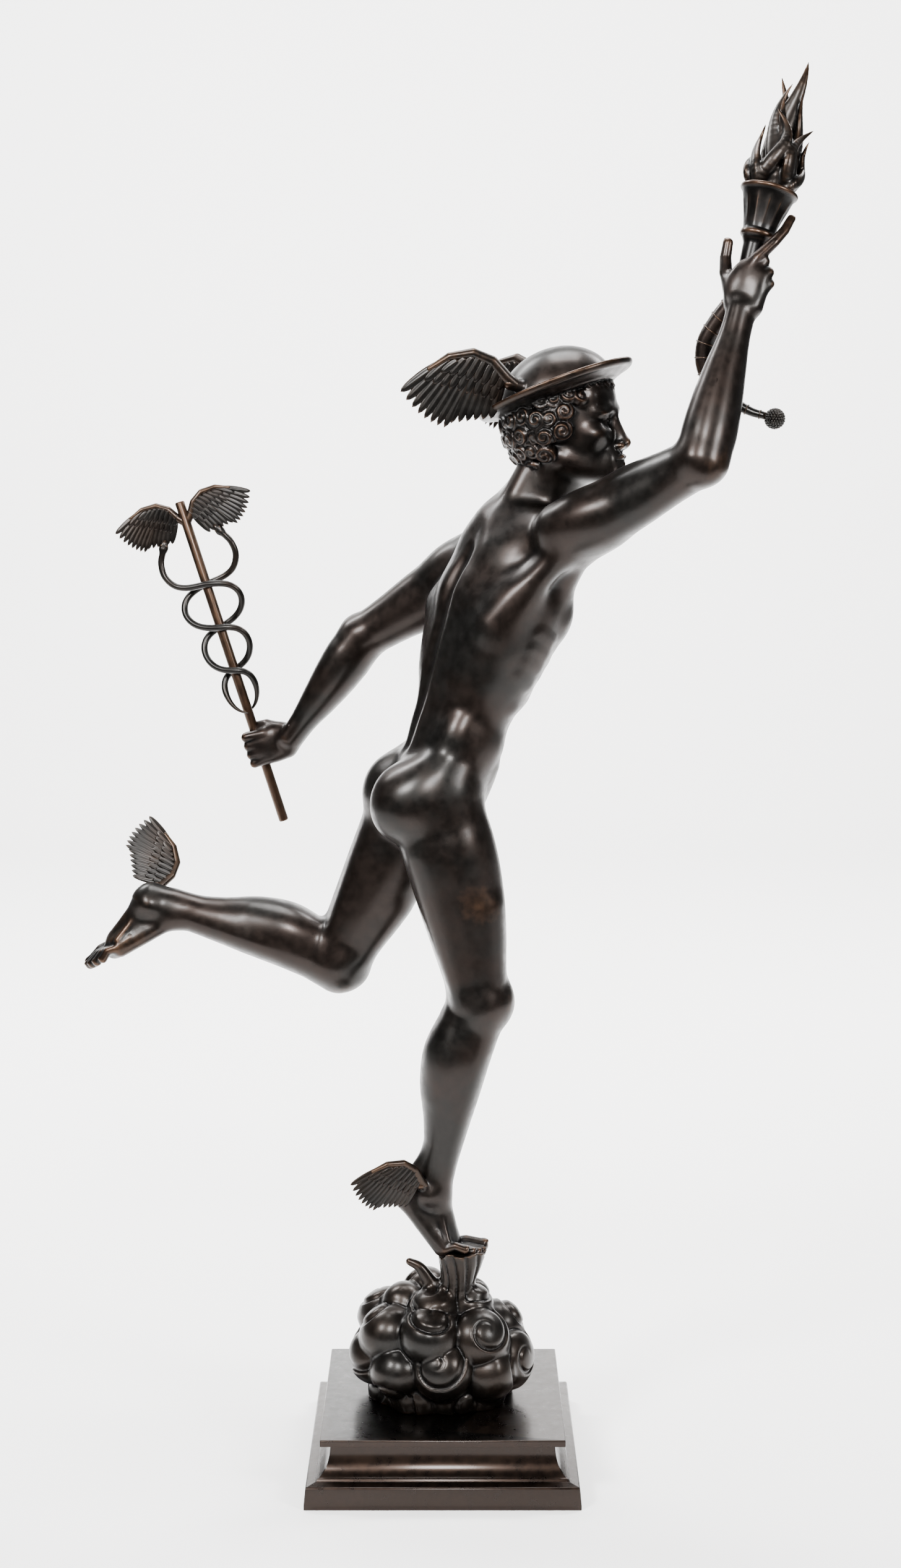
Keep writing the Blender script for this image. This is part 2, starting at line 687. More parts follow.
def trunkRows():
    pelvis = pelvisFrame()
    chest = chestFrame()
    spine = [
        (0.00, *place(pelvis, (0, 0, -0.062))), (0.17, *pelvis[0]), (0.40, *joint("waist")),
        (0.68, *chest[0]), (0.87, *vec(0.092, 0.002, 1.187)), (1.00, *joint("neck")),
    ]
    path = smoothTable(spine, trunkSteps)
    half = smoothTable(body["trunk"], trunkSteps)
    rows = []
    for t in np.linspace(0, 1, trunkSteps + 1):
        w = min(max((t - 0.22) / 0.40, 0), 1)
        w = w * w * (3 - 2 * w)
        mixed = pelvis[1] * (1 - w) + chest[1] * w
        up = unit(mixed[2])
        right = unit(mixed[0] - up * (mixed[0] @ up))
        rows.append(np.array([right, np.cross(up, right), up]))
    return path, np.array(rows), half

trunkPath, trunkTurns, trunkHalf = trunkRows()


def onTrunk(t, angle, inset=0.0):
    # A point on the trunk: angle runs from the right side by the front (90) to the left (180)
    i = int(round(t * trunkSteps))
    ca = math.cos(math.radians(angle))
    sa = math.sin(math.radians(angle))
    front, back, wide = trunkHalf[i]
    deep = front if sa > 0 else back
    power = body["squareness"]
    rho = ((abs(ca) / wide) ** power + (abs(sa) / deep) ** power) ** (-1 / power)
    return trunkPath[i] + (trunkTurns[i][0] * ca + trunkTurns[i][1] * sa) * (rho - inset)

def band(s, marks, radii, inset, blend, cut=False):
    # A muscle laid on the trunk through marks of a place and an angle; s mirrors it to the left
    points = [onTrunk(t, angle if s > 0 else 180 - angle, inset) for t, angle in marks]
    return cord(points, radii, blend, cut)

def trunkForm(blend):
    chord = trunkPath[-1] - trunkPath[0]
    length = np.linalg.norm(np.diff(trunkPath, axis=0), axis=1).sum()
    table = np.concatenate([trunkPath, trunkTurns.reshape(-1, 9), trunkHalf], axis=1)
    power = body["squareness"]

    def distance(x, y, z):
        def column(c):
            return table[i, c] + (table[i + 1, c] - table[i, c]) * w

        def offset(c):
            dx = x - column(0)
            dy = y - column(1)
            dz = z - column(2)
            return dx * column(c) + dy * column(c + 1) + dz * column(c + 2)

        start = trunkPath[0]
        rise = (x - start[0]) * chord[0] + (y - start[1]) * chord[1] + (z - start[2]) * chord[2]
        t = np.clip(rise / (chord @ chord), 0, 1)
        for _ in range(3):
            i = np.clip((t * trunkSteps).astype(np.int32), 0, trunkSteps - 1)
            w = t * trunkSteps - i
            t = np.clip(t + offset(9) * 0.8 / length, 0, 1)
        i = np.clip((t * trunkSteps).astype(np.int32), 0, trunkSteps - 1)
        w = t * trunkSteps - i
        ri = offset(3)
        fr = offset(6)
        ry = np.where(fr > 0, column(12), column(13))
        rx = column(14)
        k0 = ((np.abs(fr) / ry) ** power + (np.abs(ri) / rx) ** power) ** (1 / power)
        roundK0 = np.maximum(np.sqrt((fr / ry) ** 2 + (ri / rx) ** 2), 1e-5)
        k1 = np.sqrt((fr / ry ** 2) ** 2 + (ri / rx ** 2) ** 2) / roundK0
        d = (k0 - 1) / np.maximum(k1, 1e-5)
        over = np.where((t <= 0) | (t >= 1), np.abs(offset(9)), 0)
        return np.where(over > 0, np.sqrt(np.maximum(d, 0) ** 2 + over ** 2) + np.minimum(d, 0) * 0.5, d)

    reach = trunkHalf.max() + blend + margin
    low = trunkPath.min(0) - reach
    high = trunkPath.max(0) + reach
    return Form(low, high, distance, blend)

def trunkForms():
    pelvis = pelvisFrame()
    chest = chestFrame()
    out = [trunkForm(0.010)]
    for s in (1, -1):
        out += [
            # Seat and hips
            blob(pelvis, (s * 0.044, -0.044, -0.014), (0.048, 0.044, 0.052), 0.022),
            blob(pelvis, (s * 0.066, -0.014, 0.000), (0.032, 0.042, 0.050), 0.026),
            # Flank over the hip bone, and the groin line
            band(s, [(0.35, -48), (0.37, -10), (0.34, 30), (0.28, 58)],
                 [0.012, 0.018, 0.017, 0.010], 0.0235, 0.028),
            band(s, [(0.28, 52), (0.20, 66), (0.11, 80)], [0.009, 0.009, 0.010], 0.006, 0.014),
            # Breast, shoulder blade and the broad muscle of the back
            blob(chest, (s * 0.042, 0.051, 0.036), (0.045, 0.025, 0.036), 0.016),
            band(s, [(0.88, -56), (0.76, -62)], [0.018, 0.022], 0.027, 0.034),
            band(s, [(0.80, -14), (0.66, -18), (0.52, -34), (0.40, -60)],
                 [0.020, 0.024, 0.020, 0.012], 0.033, 0.036),
            # Long muscles beside the spine, and the arch of the ribs
            band(s, [(0.80, -72), (0.60, -71), (0.42, -69), (0.28, -71)],
                 [0.014, 0.018, 0.020, 0.015], 0.028, 0.030),
            band(s, [(0.62, 80), (0.57, 66), (0.51, 48), (0.48, 25)],
                 [0.008, 0.009, 0.009, 0.007], 0.0118, 0.016),
            blob(chest, (s * 0.052, 0.0755, 0.024), 0.0030, 0.004),
        ]
        for n in range(4):
            t = 0.715 - 0.045 * n
            marks = [(t, 8), (t - 0.012, 22), (t - 0.030, 36 - n * 2)]
            out.append(band(s, marks, [0.007, 0.008, 0.004], 0.0098, 0.012))
        for top, foot in ((0.60, 0.545), (0.515, 0.46), (0.43, 0.36)):
            out.append(band(s, [(top, 74), (foot, 73)], [0.016, 0.016], 0.0164, 0.012))
    out += [
        blob(pelvis, (0, 0.036, 0.046), (0.050, 0.024, 0.056), 0.024),
        blob(pelvis, (0, 0.034, -0.030), (0.030, 0.024, 0.034), 0.020),
        # Furrows of the spine, seat and breast bone, and the navel
        band(1, [(0.88, -90), (0.70, -90), (0.50, -90), (0.30, -90)], 0.010, -0.0112, 0.013, cut=True),
        strand(place(pelvis, (0, -0.090, 0.016)), place(pelvis, (0, -0.092, -0.050)),
               0.006, 0.010, 0.012, cut=True),
        band(1, [(0.85, 90), (0.74, 90), (0.66, 90)], 0.004, -0.008, 0.014, cut=True),
        blob((onTrunk(0.375, 90, -0.002), pelvis[1]), (0, 0, 0), (0.003, 0.007, 0.0045), 0.006, cut=True),
    ]
    return out

def neckForms():
    chest = chestFrame()
    skull = headFrame()
    out = [
        strand(joint("neck") + vec(-0.010, 0, -0.030), place(skull, (0, -0.013, -0.0435)),
               0.040, 0.0355, 0.020),
        blob(chest, (0, -0.004, 0.118), (0.060, 0.042, 0.028), 0.030),
    ]
    for s in (1, -1):
        shoulder = joint("shoulder" + sideName(s))
        up = chest[1][2]
        front = chest[1][1]
        out += [
            strand(place(chest, (s * 0.010, 0.040, 0.096)), place(skull, (s * 0.039, -0.015, -0.033)),
                   0.0058, 0.011, 0.012, bulge=0.002),
            strand(place(chest, (s * 0.012, -0.030, 0.130)), place(skull, (s * 0.020, -0.043, -0.033)),
                   0.024, 0.015, 0.018),
            # Slope of the shoulder, the girdle under it and the collar bone
            strand(place(chest, (s * 0.012, -0.026, 0.128)), shoulder * 0.85 + chest[0] * 0.15 + up * 0.026,
                   0.024, 0.020, 0.022),
            strand(place(chest, (s * 0.030, -0.020, 0.095)), shoulder * 0.9 + chest[0] * 0.1,
                   0.036, 0.030, 0.024),
            cord([place(chest, (s * 0.012, 0.040, 0.098)), place(chest, (s * 0.050, 0.042, 0.106)),
                  shoulder + front * 0.004 + up * 0.022], 0.0050, 0.015),
        ]
    return out

def legForms(s):
    hip = joint("hip" + sideName(s))
    knee = joint("knee" + sideName(s))
    ankle = joint("ankle" + sideName(s))
    right = pelvisFrame()[1][0]
    down = unit(knee - hip)
    shin = unit(ankle - knee)
    thighFront = np.cross(-down, right)
    shinFront = np.cross(-shin, right)
    bend = unit(thighFront + shinFront)
    kneeFrame = (knee, np.array([right, bend, unit(np.cross(right, bend))]))
    out = [
        limb(hip, knee, thighFront, body["thigh"], 0.016, s),
        limb(knee, ankle, shinFront, body["shin"], 0.014, s),
        blob(kneeFrame, (0, 0.028, 0.0), (0.021, 0.014, 0.023), 0.018),
        blob(kneeFrame, (0, 0.004, 0.0), (0.036, 0.030, 0.036), 0.020),
    ]
    # Pads over the knee, calf heads and hamstring cords, inner and outer of each
    for inner, high, low in ((-1, -0.100, -0.022), (1, -0.125, -0.036)):
        across = right * s * inner
        out += [
            strand(knee + thighFront * 0.028 + down * high + across * 0.020,
                   knee + thighFront * 0.020 + down * low + across * 0.020, 0.0165, 0.010, 0.020),
            strand(knee - shinFront * 0.020 + shin * 0.030 - across * 0.013,
                   knee - shinFront * 0.022 + shin * (0.140 + high * 0.1) - across * 0.012,
                   0.018, 0.013, 0.014, bulge=0.0105),
            strand(hip - thighFront * 0.030 + down * 0.06 + across * 0.013,
                   knee - thighFront * 0.022 + across * 0.024 - down * 0.01, 0.026, 0.009, 0.014),
        ]
    return out

def footForms(s, toeWay, dorsal, toeBend):
    ankle = joint("ankle" + sideName(s))
    knee = joint("knee" + sideName(s))
    ahead = unit(toeWay)
    upper = unit(dorsal - ahead * np.dot(dorsal, ahead))
    frame = (ankle, np.array([np.cross(ahead, upper) * -s, ahead, upper]))

    def at(*point):
        return place(frame, point)

    tendon = ankle + unit(knee - ankle) * 0.045 - ahead * 0.016
    out = [
        strand(tendon, at(0, -0.030, -0.014), 0.010, 0.012, 0.012),
        blob(frame, (0, -0.025, -0.027), (0.0185, 0.021, 0.020), 0.010),
        strand(at(0.001, 0.004, -0.004), at(0.004, 0.062, -0.024), 0.021, 0.0140, 0.016),
        strand(at(-0.009, -0.016, -0.033), at(-0.017, 0.062, -0.036), 0.013, 0.0105, 0.014),
        strand(at(0.008, 0.012, -0.022), at(0.013, 0.070, -0.033), 0.015, 0.0135, 0.014),
        strand(at(0.000, 0.026, -0.026), at(-0.004, 0.074, -0.034), 0.015, 0.0115, 0.014),
        blob(frame, (0.018, 0.001, 0.0), (0.0075, 0.009, 0.009), 0.008),
        blob(frame, (-0.018, -0.003, -0.004), (0.0070, 0.008, 0.009), 0.008),
    ]
    bent = ahead * math.cos(toeBend) + upper * math.sin(toeBend)
    lift = upper * math.cos(toeBend) - ahead * math.sin(toeBend)
    across = np.cross(bent, lift)
    for sideways, forward, length, r in body["toes"]:
        length -= body["toeTrim"] if s < 0 else 0
        root = at(sideways, forward, -0.034 + r * 0.3)
        middle = root + bent * length * 0.5 + lift * 0.004
        tip = root + bent * length - lift * 0.001
        start = at(sideways * 0.8, forward - 0.022, -0.029)
        out.append(cord([start, root, middle, tip], [r * 0.95, r, r * 0.92, r * 0.98], 0.0035))
        # tendon over the instep, and the toe's nail with the fold behind it
        out.append(strand(at(sideways * 0.45, 0.022, -0.008),
                          at(sideways * 0.95, forward - 0.006, -0.026 + r * 0.6), 0.0022, 0.0026, 0.007))
        nail = (tip + lift * r * 0.62 + bent * r * 0.25, np.array([across, bent, lift]))
        out.append(blob(nail, (0, 0, 0), (r * 0.66, r * 0.80, r * 0.40), 0.0006))
    return out


def feetForms():
    shin = unit(joint("ankleLeft") - joint("kneeLeft"))
    trailing = unit(shin * 0.72 + vec(-0.26, 0, -0.96) * 0.70)
    standing = footForms(1, vec(0.62, -0.02, -0.78), vec(0.78, 0, 0.62), math.radians(52))
    return standing + footForms(-1, trailing, vec(trailing[2], 0, -trailing[0]), math.radians(-8))

def armForms(s):
    shoulder = joint("shoulder" + sideName(s))
    elbow = joint("elbow" + sideName(s))
    wrist = joint("wrist" + sideName(s))
    chest = chestFrame()
    outOfChest = shoulder - chest[0]
    up = chest[1][2]
    front = chest[1][1]
    upper = unit(elbow - shoulder)
    fore = unit(wrist - elbow)
    bend = unit(fore - upper * np.dot(fore, upper))
    elbowFrame = (elbow, np.array([unit(np.cross(upper, fore)), bend, -upper]))
    out = [
        limb(shoulder, elbow, bend, body["upperArm"], 0.012, s),
        limb(elbow, wrist, bend, body["forearm"], 0.012, s),
        blob(elbowFrame, (0, -0.015, 0.001), (0.014, 0.015, 0.016), 0.014),
        strand(place(chest, (s * 0.050, 0.040, 0.040)), shoulder + upper * 0.040 - up * 0.008,
               0.022, 0.014, 0.018),
        strand(place(chest, (s * 0.080, -0.034, 0.010)),
               shoulder + upper * 0.032 - up * 0.014 - front * 0.010,
               0.021, 0.013, 0.022),
    ]
    # The shoulder muscle's three heads
    insertion = shoulder + upper * 0.085 - bend * 0.004
    outward = unit(outOfChest - up * np.dot(outOfChest, up))
    for lean in (front * 0.022, outward * 0.014 + up * 0.010, front * -0.022):
        out.append(strand(shoulder + lean * 0.9, insertion + lean * 0.35, 0.0285, 0.015, 0.016, bulge=0.008))
    return out

# Hands, torch and staff lines

hands = {"finger": (0.0067, 0.0069, 0.0066, 0.0060)}
staff = {
    "rodRadius": 0.0066, "below": 0.108, "above": 0.352,
    "snakeSpan": (0.050, 0.235), "snakeSway": (0.014, 0.044),
    "snakeRadius": 0.0045,
    "snakeNeck": [(0.026, 0.0085, 0.238), (0.042, 0.005, 0.246), (0.051, 0.002, 0.262), (0.050, 0.0, 0.280),
                  (0.043, 0.0, 0.294)],
    "wingRoot": 0.322, "snakeSides": 18, "snakeSteps": 96, "snakeTurns": 3,
    # how the rod's ends round off: distance from the end and radius
    "rodEnd": [(0.0, 0.0052), (0.0006, 0.0060), (0.002, 0.0066)],
    "headFineness": {"voxel": 0.0006, "triangles": 16000, "relief": 0.0003, "passes": 8},
}


def handFrame(wrist, reach, palm, thumbWay):
    # Rows: towards the thumb, out of the palm and along the hand
    z = unit(reach)
    y = unit(palm - z * np.dot(palm, z))
    x = np.cross(y, z)
    return wrist, np.array([x if np.dot(x, thumbWay) > 0 else -x, y, z])

torchHand = handFrame(joint("wristRight"), vec(0.20, 0.10, 0.97), vec(0.22, 0.97, 0), vec(-1, 0, 0))
torchGrip = place(torchHand, (0.004, 0.021, 0.052))
torchAxis = unit(torchHand[1][2] * 0.98 - torchHand[1][0] * 0.05 + torchHand[1][1] * 0.06)
torchSide = unit(np.cross(torchAxis, vec(0, 1, 0)))
torchThird = np.cross(torchAxis, torchSide)
staffWay = unit(vec(-0.30, 0.0, 0.954))


def staffHandFrame():
    fore = joint("wristLeft") - joint("elbowLeft")
    reach = fore - staffWay * np.dot(fore, staffWay)
    return handFrame(joint("wristLeft"), reach, vec(0.12, 1.0, 0.0), staffWay)

staffHand = staffHandFrame()
palmToRod = staff["rodRadius"] + 0.0095
staffGrip = place(staffHand, (0, palmToRod, 0.050))
staffFront = unit(vec(0, -1, 0) + staffWay * staffWay[1])
staffSide = np.cross(staffFront, staffWay)
staffFrame = (staffGrip, np.array([staffSide, staffFront, staffWay]))


def fingernail(tip, before, gripAt, gripWay, r):
    # a nail on the side of the fingertip that faces away from what the hand holds
    along = unit(tip - before)
    middle = gripAt + gripWay * np.dot(tip - gripAt, gripWay)
    away = unit(tip - middle)
    away = unit(away - along * np.dot(away, along))
    rows = np.array([np.cross(along, away), along, away])
    return blob((tip + away * r * 0.62, rows), (0, 0, 0), (r * 0.64, r * 0.92, r * 0.42), 0.0005)


def nailed(forms, gripAt, gripWay):
    # the forms and a nail at the tip of every finger among them
    fingers = [form.tip for form in forms if hasattr(form, "tip")]
    return forms + [fingernail(tip, before, gripAt, gripWay, r) for tip, before, r in fingers]


def torchHandForms():
    frame = torchHand

    def at(*point):
        return place(frame, point)

    out = [
        blob(frame, (0, 0.000, 0.030), (0.0235, 0.0115, 0.033), 0.010),
        strand(at(0.010, 0.004, 0.008), at(0.020, 0.010, 0.034), 0.012, 0.0095, 0.010),
        strand(at(-0.012, 0.004, 0.008), at(-0.017, 0.004, 0.044), 0.012, 0.0085, 0.010),
        # Thumb up beside the horn, and the first finger laid along it
        cord([at(0.018, 0.008, 0.026), at(0.029, 0.014, 0.044), at(0.0335, 0.018, 0.062),
              at(0.034, 0.017, 0.080)], [0.0095, 0.0080, 0.0070, 0.0062], 0.005),
        cord([at(0.006, 0.000, 0.045), at(-0.006, -0.001, 0.064), at(-0.021, 0.003, 0.086),
              at(-0.030, 0.011, 0.104), at(-0.034, 0.018, 0.120)],
             [0.0078, 0.0074, 0.0066, 0.0060, 0.0052], 0.004),
    ]
    for kx, kz, r in ((-0.010, 0.058, 0.0070), (-0.018, 0.046, 0.0066), (-0.022, 0.033, 0.0058)):
        points = [at(kx + 0.004, 0.000, kz - 0.010), at(kx - 0.004, 0.004, kz + 0.004),
                  at(kx - 0.002, 0.022, kz + 0.008), at(-0.006 + kx * 0.3, 0.040, kz + 0.003),
                  at(0.008, 0.042, kz - 0.003), at(0.018, 0.034, kz - 0.006)]
        out.append(cord(points, [r * q for q in (1.08, 1.06, 1.0, 0.96, 0.94, 0.90)], 0.003))
    return out

def staffHandForms():
    frame = staffHand

    def at(*point):
        return place(frame, point)

    out = [
        blob(frame, (0, 0.000, 0.030), (0.024, 0.0115, 0.034), 0.010),
        strand(at(0.012, 0.006, 0.012), at(0.018, 0.010, 0.040), 0.012, 0.010, 0.010),
        strand(at(-0.014, 0.006, 0.010), at(-0.015, 0.006, 0.046), 0.011, 0.009, 0.010),
        cord([at(0.014, 0.004, 0.012), at(0.026, 0.012, 0.030), at(0.028, palmToRod + 0.003, 0.044),
              at(0.022, palmToRod + staff["rodRadius"] + 0.003, 0.050)],
             [0.0105, 0.0085, 0.0072, 0.0068], 0.006),
    ]
    for n, r in enumerate(hands["finger"]):
        across = 0.0185 - 0.0125 * n
        reach = staff["rodRadius"] + r * 0.92
        points = [at(across * 0.9, -0.002, 0.034), at(across, 0.000, 0.060)]
        for angle in (55, 5, -45, -80):
            turn = math.radians(angle)
            points.append(at(across, palmToRod + math.cos(turn) * reach, 0.050 + math.sin(turn) * reach))
        out.append(cord(points, [r * q for q in (1.10, 1.08, 0.98, 0.94, 0.92, 0.90)], 0.003))
    return out

# The head

def headPoint(*point):
    return place(headFrame(), [v * head["scale"] for v in point])

def headBlob(at, radii, blend=0.008, cut=False):
    scaled = [v * head["scale"] for v in radii] if np.ndim(radii) else radii * head["scale"]
    return blob(headFrame(), [v * head["scale"] for v in at], scaled, blend, cut)

def faceForms():
    q = headPoint
    out = [
        headBlob((0, -0.010, 0.018), (0.046, 0.058, 0.052), 0.010),
        headBlob((0, 0.016, -0.014), (0.0375, 0.038, 0.047), 0.020),
        headBlob((0, 0.018, -0.046), (0.026, 0.028, 0.018), 0.014),
    ]
    for s in (1, -1):
        out += [
            strand(q(s * 0.029, 0.000, -0.038), q(s * 0.008, 0.044, -0.0605), 0.0118, 0.0103, 0.014),
            headBlob((s * 0.0265, 0.036, -0.014), (0.010, 0.012, 0.009), 0.014),
        ]
    out += [
        headBlob((0, 0.0475, -0.0600), (0.0125, 0.0095, 0.0100), 0.008),
        headBlob((0, 0.036, 0.030), (0.034, 0.018, 0.024), 0.016),
        cord([q(-0.027, 0.040, 0.0105), q(-0.013, 0.0505, 0.0125), q(0, 0.0515, 0.0105),
              q(0.013, 0.0505, 0.0125), q(0.027, 0.040, 0.0105)],
             [0.0045, 0.0055, 0.0055, 0.0055, 0.0045], 0.010),
        headBlob((0, 0.0450, -0.042), (0.020, 0.0125, 0.0165), 0.010),
    ]
    for s in (1, -1):
        out.append(headBlob((s * 0.0170, 0.0560, -0.0005), (0.0125, 0.0105, 0.0085), 0.007, cut=True))
    for s in (1, -1):
        out += [
            # eyeball, upper and lower lid, and the soft brow over them
            headBlob((s * 0.0165, 0.0390, -0.0010), (0.0098, 0.0098, 0.0095), 0.0015),
            cord([q(s * 0.0075, 0.0465, -0.0030), q(s * 0.0115, 0.0495, 0.0025), q(s * 0.0170, 0.0495, 0.0042),
                  q(s * 0.0225, 0.0460, 0.0020), q(s * 0.0262, 0.0405, -0.0030)], 0.0017, 0.0020),
            cord([q(s * 0.0075, 0.0465, -0.0030), q(s * 0.0125, 0.0478, -0.0062), q(s * 0.0185, 0.0465, -0.0068),
                  q(s * 0.0262, 0.0405, -0.0030)], 0.0014, 0.0020),
            headBlob((s * 0.0170, 0.0470, 0.0088), (0.0110, 0.0055, 0.0040), 0.006),
        ]
    out += [
        strand(q(0, 0.0470, 0.0060), q(0, 0.0540, -0.0265), 0.0058, 0.0086, 0.0060),
        strand(q(0, 0.0500, 0.0085), q(0, 0.0620, -0.0245), 0.0049, 0.0055, 0.0060),
        headBlob((0, 0.0628, -0.0262), 0.0058, 0.004),
    ]
    for s in (1, -1):
        out.append(headBlob((s * 0.0078, 0.0572, -0.0290), (0.0046, 0.0066, 0.0046), 0.0035))
    for s in (1, -1):
        out.append(headBlob((s * 0.0042, 0.0590, -0.0345), (0.0019, 0.0032, 0.0019), 0.002, cut=True))
    out += [
        cord([q(-0.0135, 0.0520, -0.0445), q(-0.0045, 0.0585, -0.0410), q(0, 0.0580, -0.0420),
              q(0.0045, 0.0585, -0.0410), q(0.0135, 0.0520, -0.0445)],
             [0.0015, 0.0027, 0.0026, 0.0027, 0.0015], 0.003),
        cord([q(-0.0120, 0.0520, -0.0460), q(0, 0.0570, -0.0490), q(0.0120, 0.0520, -0.0460)],
             [0.0015, 0.0036, 0.0015], 0.003),
        cord([q(-0.0140, 0.0540, -0.0450), q(-0.0045, 0.0612, -0.0445), q(0, 0.0612, -0.0452),
              q(0.0045, 0.0612, -0.0445), q(0.0140, 0.0540, -0.0450)], 0.0010, 0.0015, cut=True),
        headBlob((0, 0.0590, -0.0365), (0.0016, 0.0030, 0.0035), 0.003, cut=True),
    ]
    return out


hat = {"brim": (0.084, 0.100), "brimHalfThickness": 0.0022, "crown": (0.0625, 0.0765, 0.0610), "tilt": -14.0,
       "seat": (0.0, -0.011, 0.039)}


def hatFrame():
    rows = headFrame()[1]
    tilt = math.radians(hat["tilt"])
    front = rows[1] * math.cos(tilt) - rows[2] * math.sin(tilt)
    up = rows[2] * math.cos(tilt) + rows[1] * math.sin(tilt)
    return place(headFrame(), hat["seat"]), np.array([rows[0], front, up])

def hatForms():
    origin, rows = hatFrame()

    def crown(x, y, z):
        q = turnedInto(rows, origin, x, y, z)
        return np.maximum(ellipsoid(q, hat["crown"]), -q[2] - 0.004)

    def brim(x, y, z):
        q = turnedInto(rows, origin, x, y, z)
        rho = np.sqrt((q[0] / hat["brim"][0]) ** 2 + (q[1] / hat["brim"][1]) ** 2)
        rise = 0.010 * (np.maximum(rho - 0.62, 0) / 0.38) ** 2 - 0.002
        flat = np.abs(q[2] - rise) - hat["brimHalfThickness"]
        out = (rho - 1) * (hat["brim"][0] + hat["brim"][1]) / 2
        edge = np.sqrt(np.maximum(flat, 0) ** 2 + np.maximum(out, 0) ** 2)
        slab = edge + np.minimum(np.maximum(flat, out), 0)
        rolled = np.sqrt(out ** 2 + (q[2] - rise) ** 2) - 0.0038
        return smoothMin(slab, rolled, 0.003)

    return [Form(origin - 0.10, origin + 0.10, crown, 0.003), Form(origin - 0.10, origin + 0.10, brim, 0.004)]

hair = {
    # curl rows: height on the head, the angle from the face where a row starts and ends, count and size
    "rows": [
        (0.033, 26, 150, 8, 0.0129), (0.013, 62, 172, 7, 0.0136), (-0.009, 70, 180, 7, 0.0136),
        (-0.0295, 92, 180, 6, 0.0131), (-0.048, 125, 180, 4, 0.0120),
    ],
    # the fringe: count, first angle and step in degrees, and size
    "fringe": (7, -42, 14, 0.0093),
    "half": (0.0595, 0.0655, 0.0675), "seed": 7, "grooveDepth": 0.0011, "groovePitch": 0.46, "grooveSeed": 5,
}
grooveRandom = np.random.default_rng(hair["grooveSeed"])


def curl(at, size):
    # a snail of hair: a dome with a spiral groove
    frame = headFrame()
    out = unit(at - vec(0, -0.0155, 0.0065))
    side = unit(np.cross(out, vec(0.1, 0.2, 1)))
    rows = np.array([side, np.cross(out, side), out]) @ frame[1]
    phase = grooveRandom.uniform(0, 2 * math.pi)
    way = grooveRandom.choice([-1, 1])

    def groove(u, v, w):
        rho = np.sqrt(u * u + v * v)
        pitch = size * hair["groovePitch"]
        wave = np.cos(rho * (2 * math.pi / pitch) + way * np.arctan2(v, u) + phase)
        return -hair["grooveDepth"] * wave * np.minimum(rho * (3 / size), 1)

    radii = (size, size * 0.92, size * 0.62)
    return blob((place(frame, at), rows), (0, 0, 0), radii, 0.0015, groove=groove)


def hairForms():
    frame = headFrame()
    rng = np.random.default_rng(hair["seed"])
    out = [
        blob(frame, (0, -0.0175, 0.013), (0.0572, 0.0632, 0.0545), 0.004),
        blob(frame, (0, -0.0435, -0.0285), (0.037, 0.024, 0.026), 0.008),
    ]
    for z, start, end, count, size in hair["rows"]:
        for s in (1, -1):
            for i in range(count):
                a = math.radians(start + (end - start) * (i + 0.5 * rng.random()) / count)
                height = z + rng.uniform(-0.004, 0.004)
                squeeze = math.sqrt(max(0.05, 1 - ((height - 0.006) / hair["half"][2]) ** 2))
                at = vec(s * math.sin(a) * hair["half"][0] * squeeze,
                         -0.0155 + math.cos(a) * hair["half"][1] * squeeze, height)
                out.append(curl(at, size * rng.uniform(0.85, 1.15)))
    count, first, step, size = hair["fringe"]
    for i in range(count):
        a = math.radians(first + step * i)
        at = vec(math.sin(a) * 0.047, -0.009 + math.cos(a) * 0.0655, 0.0436 + 0.002 * math.cos(a))
        out.append(curl(at, size))
    return out

# lobes: the way each points in degrees, its length and its width
leaf = {
    "lobes": [(-90, 0.042, 0.0125), (-38, 0.033, 0.0105), (-142, 0.033, 0.0105), (14, 0.024, 0.0090),
              (166, 0.024, 0.0090)],
    "seat": (0, 0.064, -0.030),
}


def leafForms():
    pelvis = pelvisFrame()
    right, front, up = pelvis[1]
    centre = place(pelvis, leaf["seat"])
    normal = unit(front * 0.95 - up * 0.1)
    out = [blob((centre, pelvis[1]), (0, -0.014, -0.008), (0.020, 0.018, 0.024), 0.006)]
    for angle, length, width in leaf["lobes"]:
        a = math.radians(angle)
        way = right * math.cos(a) + up * math.sin(a)
        tip = centre + way * length - normal * 0.004
        out.append(strand(centre, tip, width * 0.7, width * 0.45, 0.0015,
                          bulge=width * 0.4, flat=0.40, normal=normal))
        # the lobe's main vein and its side veins
        out.append(strand(centre + normal * width * 0.30, tip + normal * width * 0.10, 0.0016, 0.0008, 0.0012))
        for side in (1, -1):
            start = centre + way * length * 0.45 + normal * width * 0.34
            end = (centre + way * length * 0.80 + np.cross(normal, way) * side * width * 0.62
                   + normal * width * 0.14)
            out.append(strand(start, end, 0.0011, 0.0007, 0.0010))
    return out


# Wings: an arm and three layers of feathers; u runs out along the wing and v down, in wing lengths

wings = {
    "arm": [(0.0, 0.0), (0.10, -0.06), (0.28, -0.19), (0.50, -0.23), (0.74, -0.14), (0.92, 0.03)],
    "armRadii": [0.060, 0.058, 0.052, 0.046, 0.036, 0.020],
    "featherThickness": 0.0027, "hatLength": 0.118, "ankleLength": 0.088, "staffLength": 0.078,
    "hatRoot": (0.050, -0.022, 0.0195), "hatStem": 0.014, "ankleStems": (0.017, 0.019),
    "featherSteps": (18, 8), "fineness": {"voxel": 0.0010, "triangles": 9000, "relief": 0.0005, "passes": 10},
}


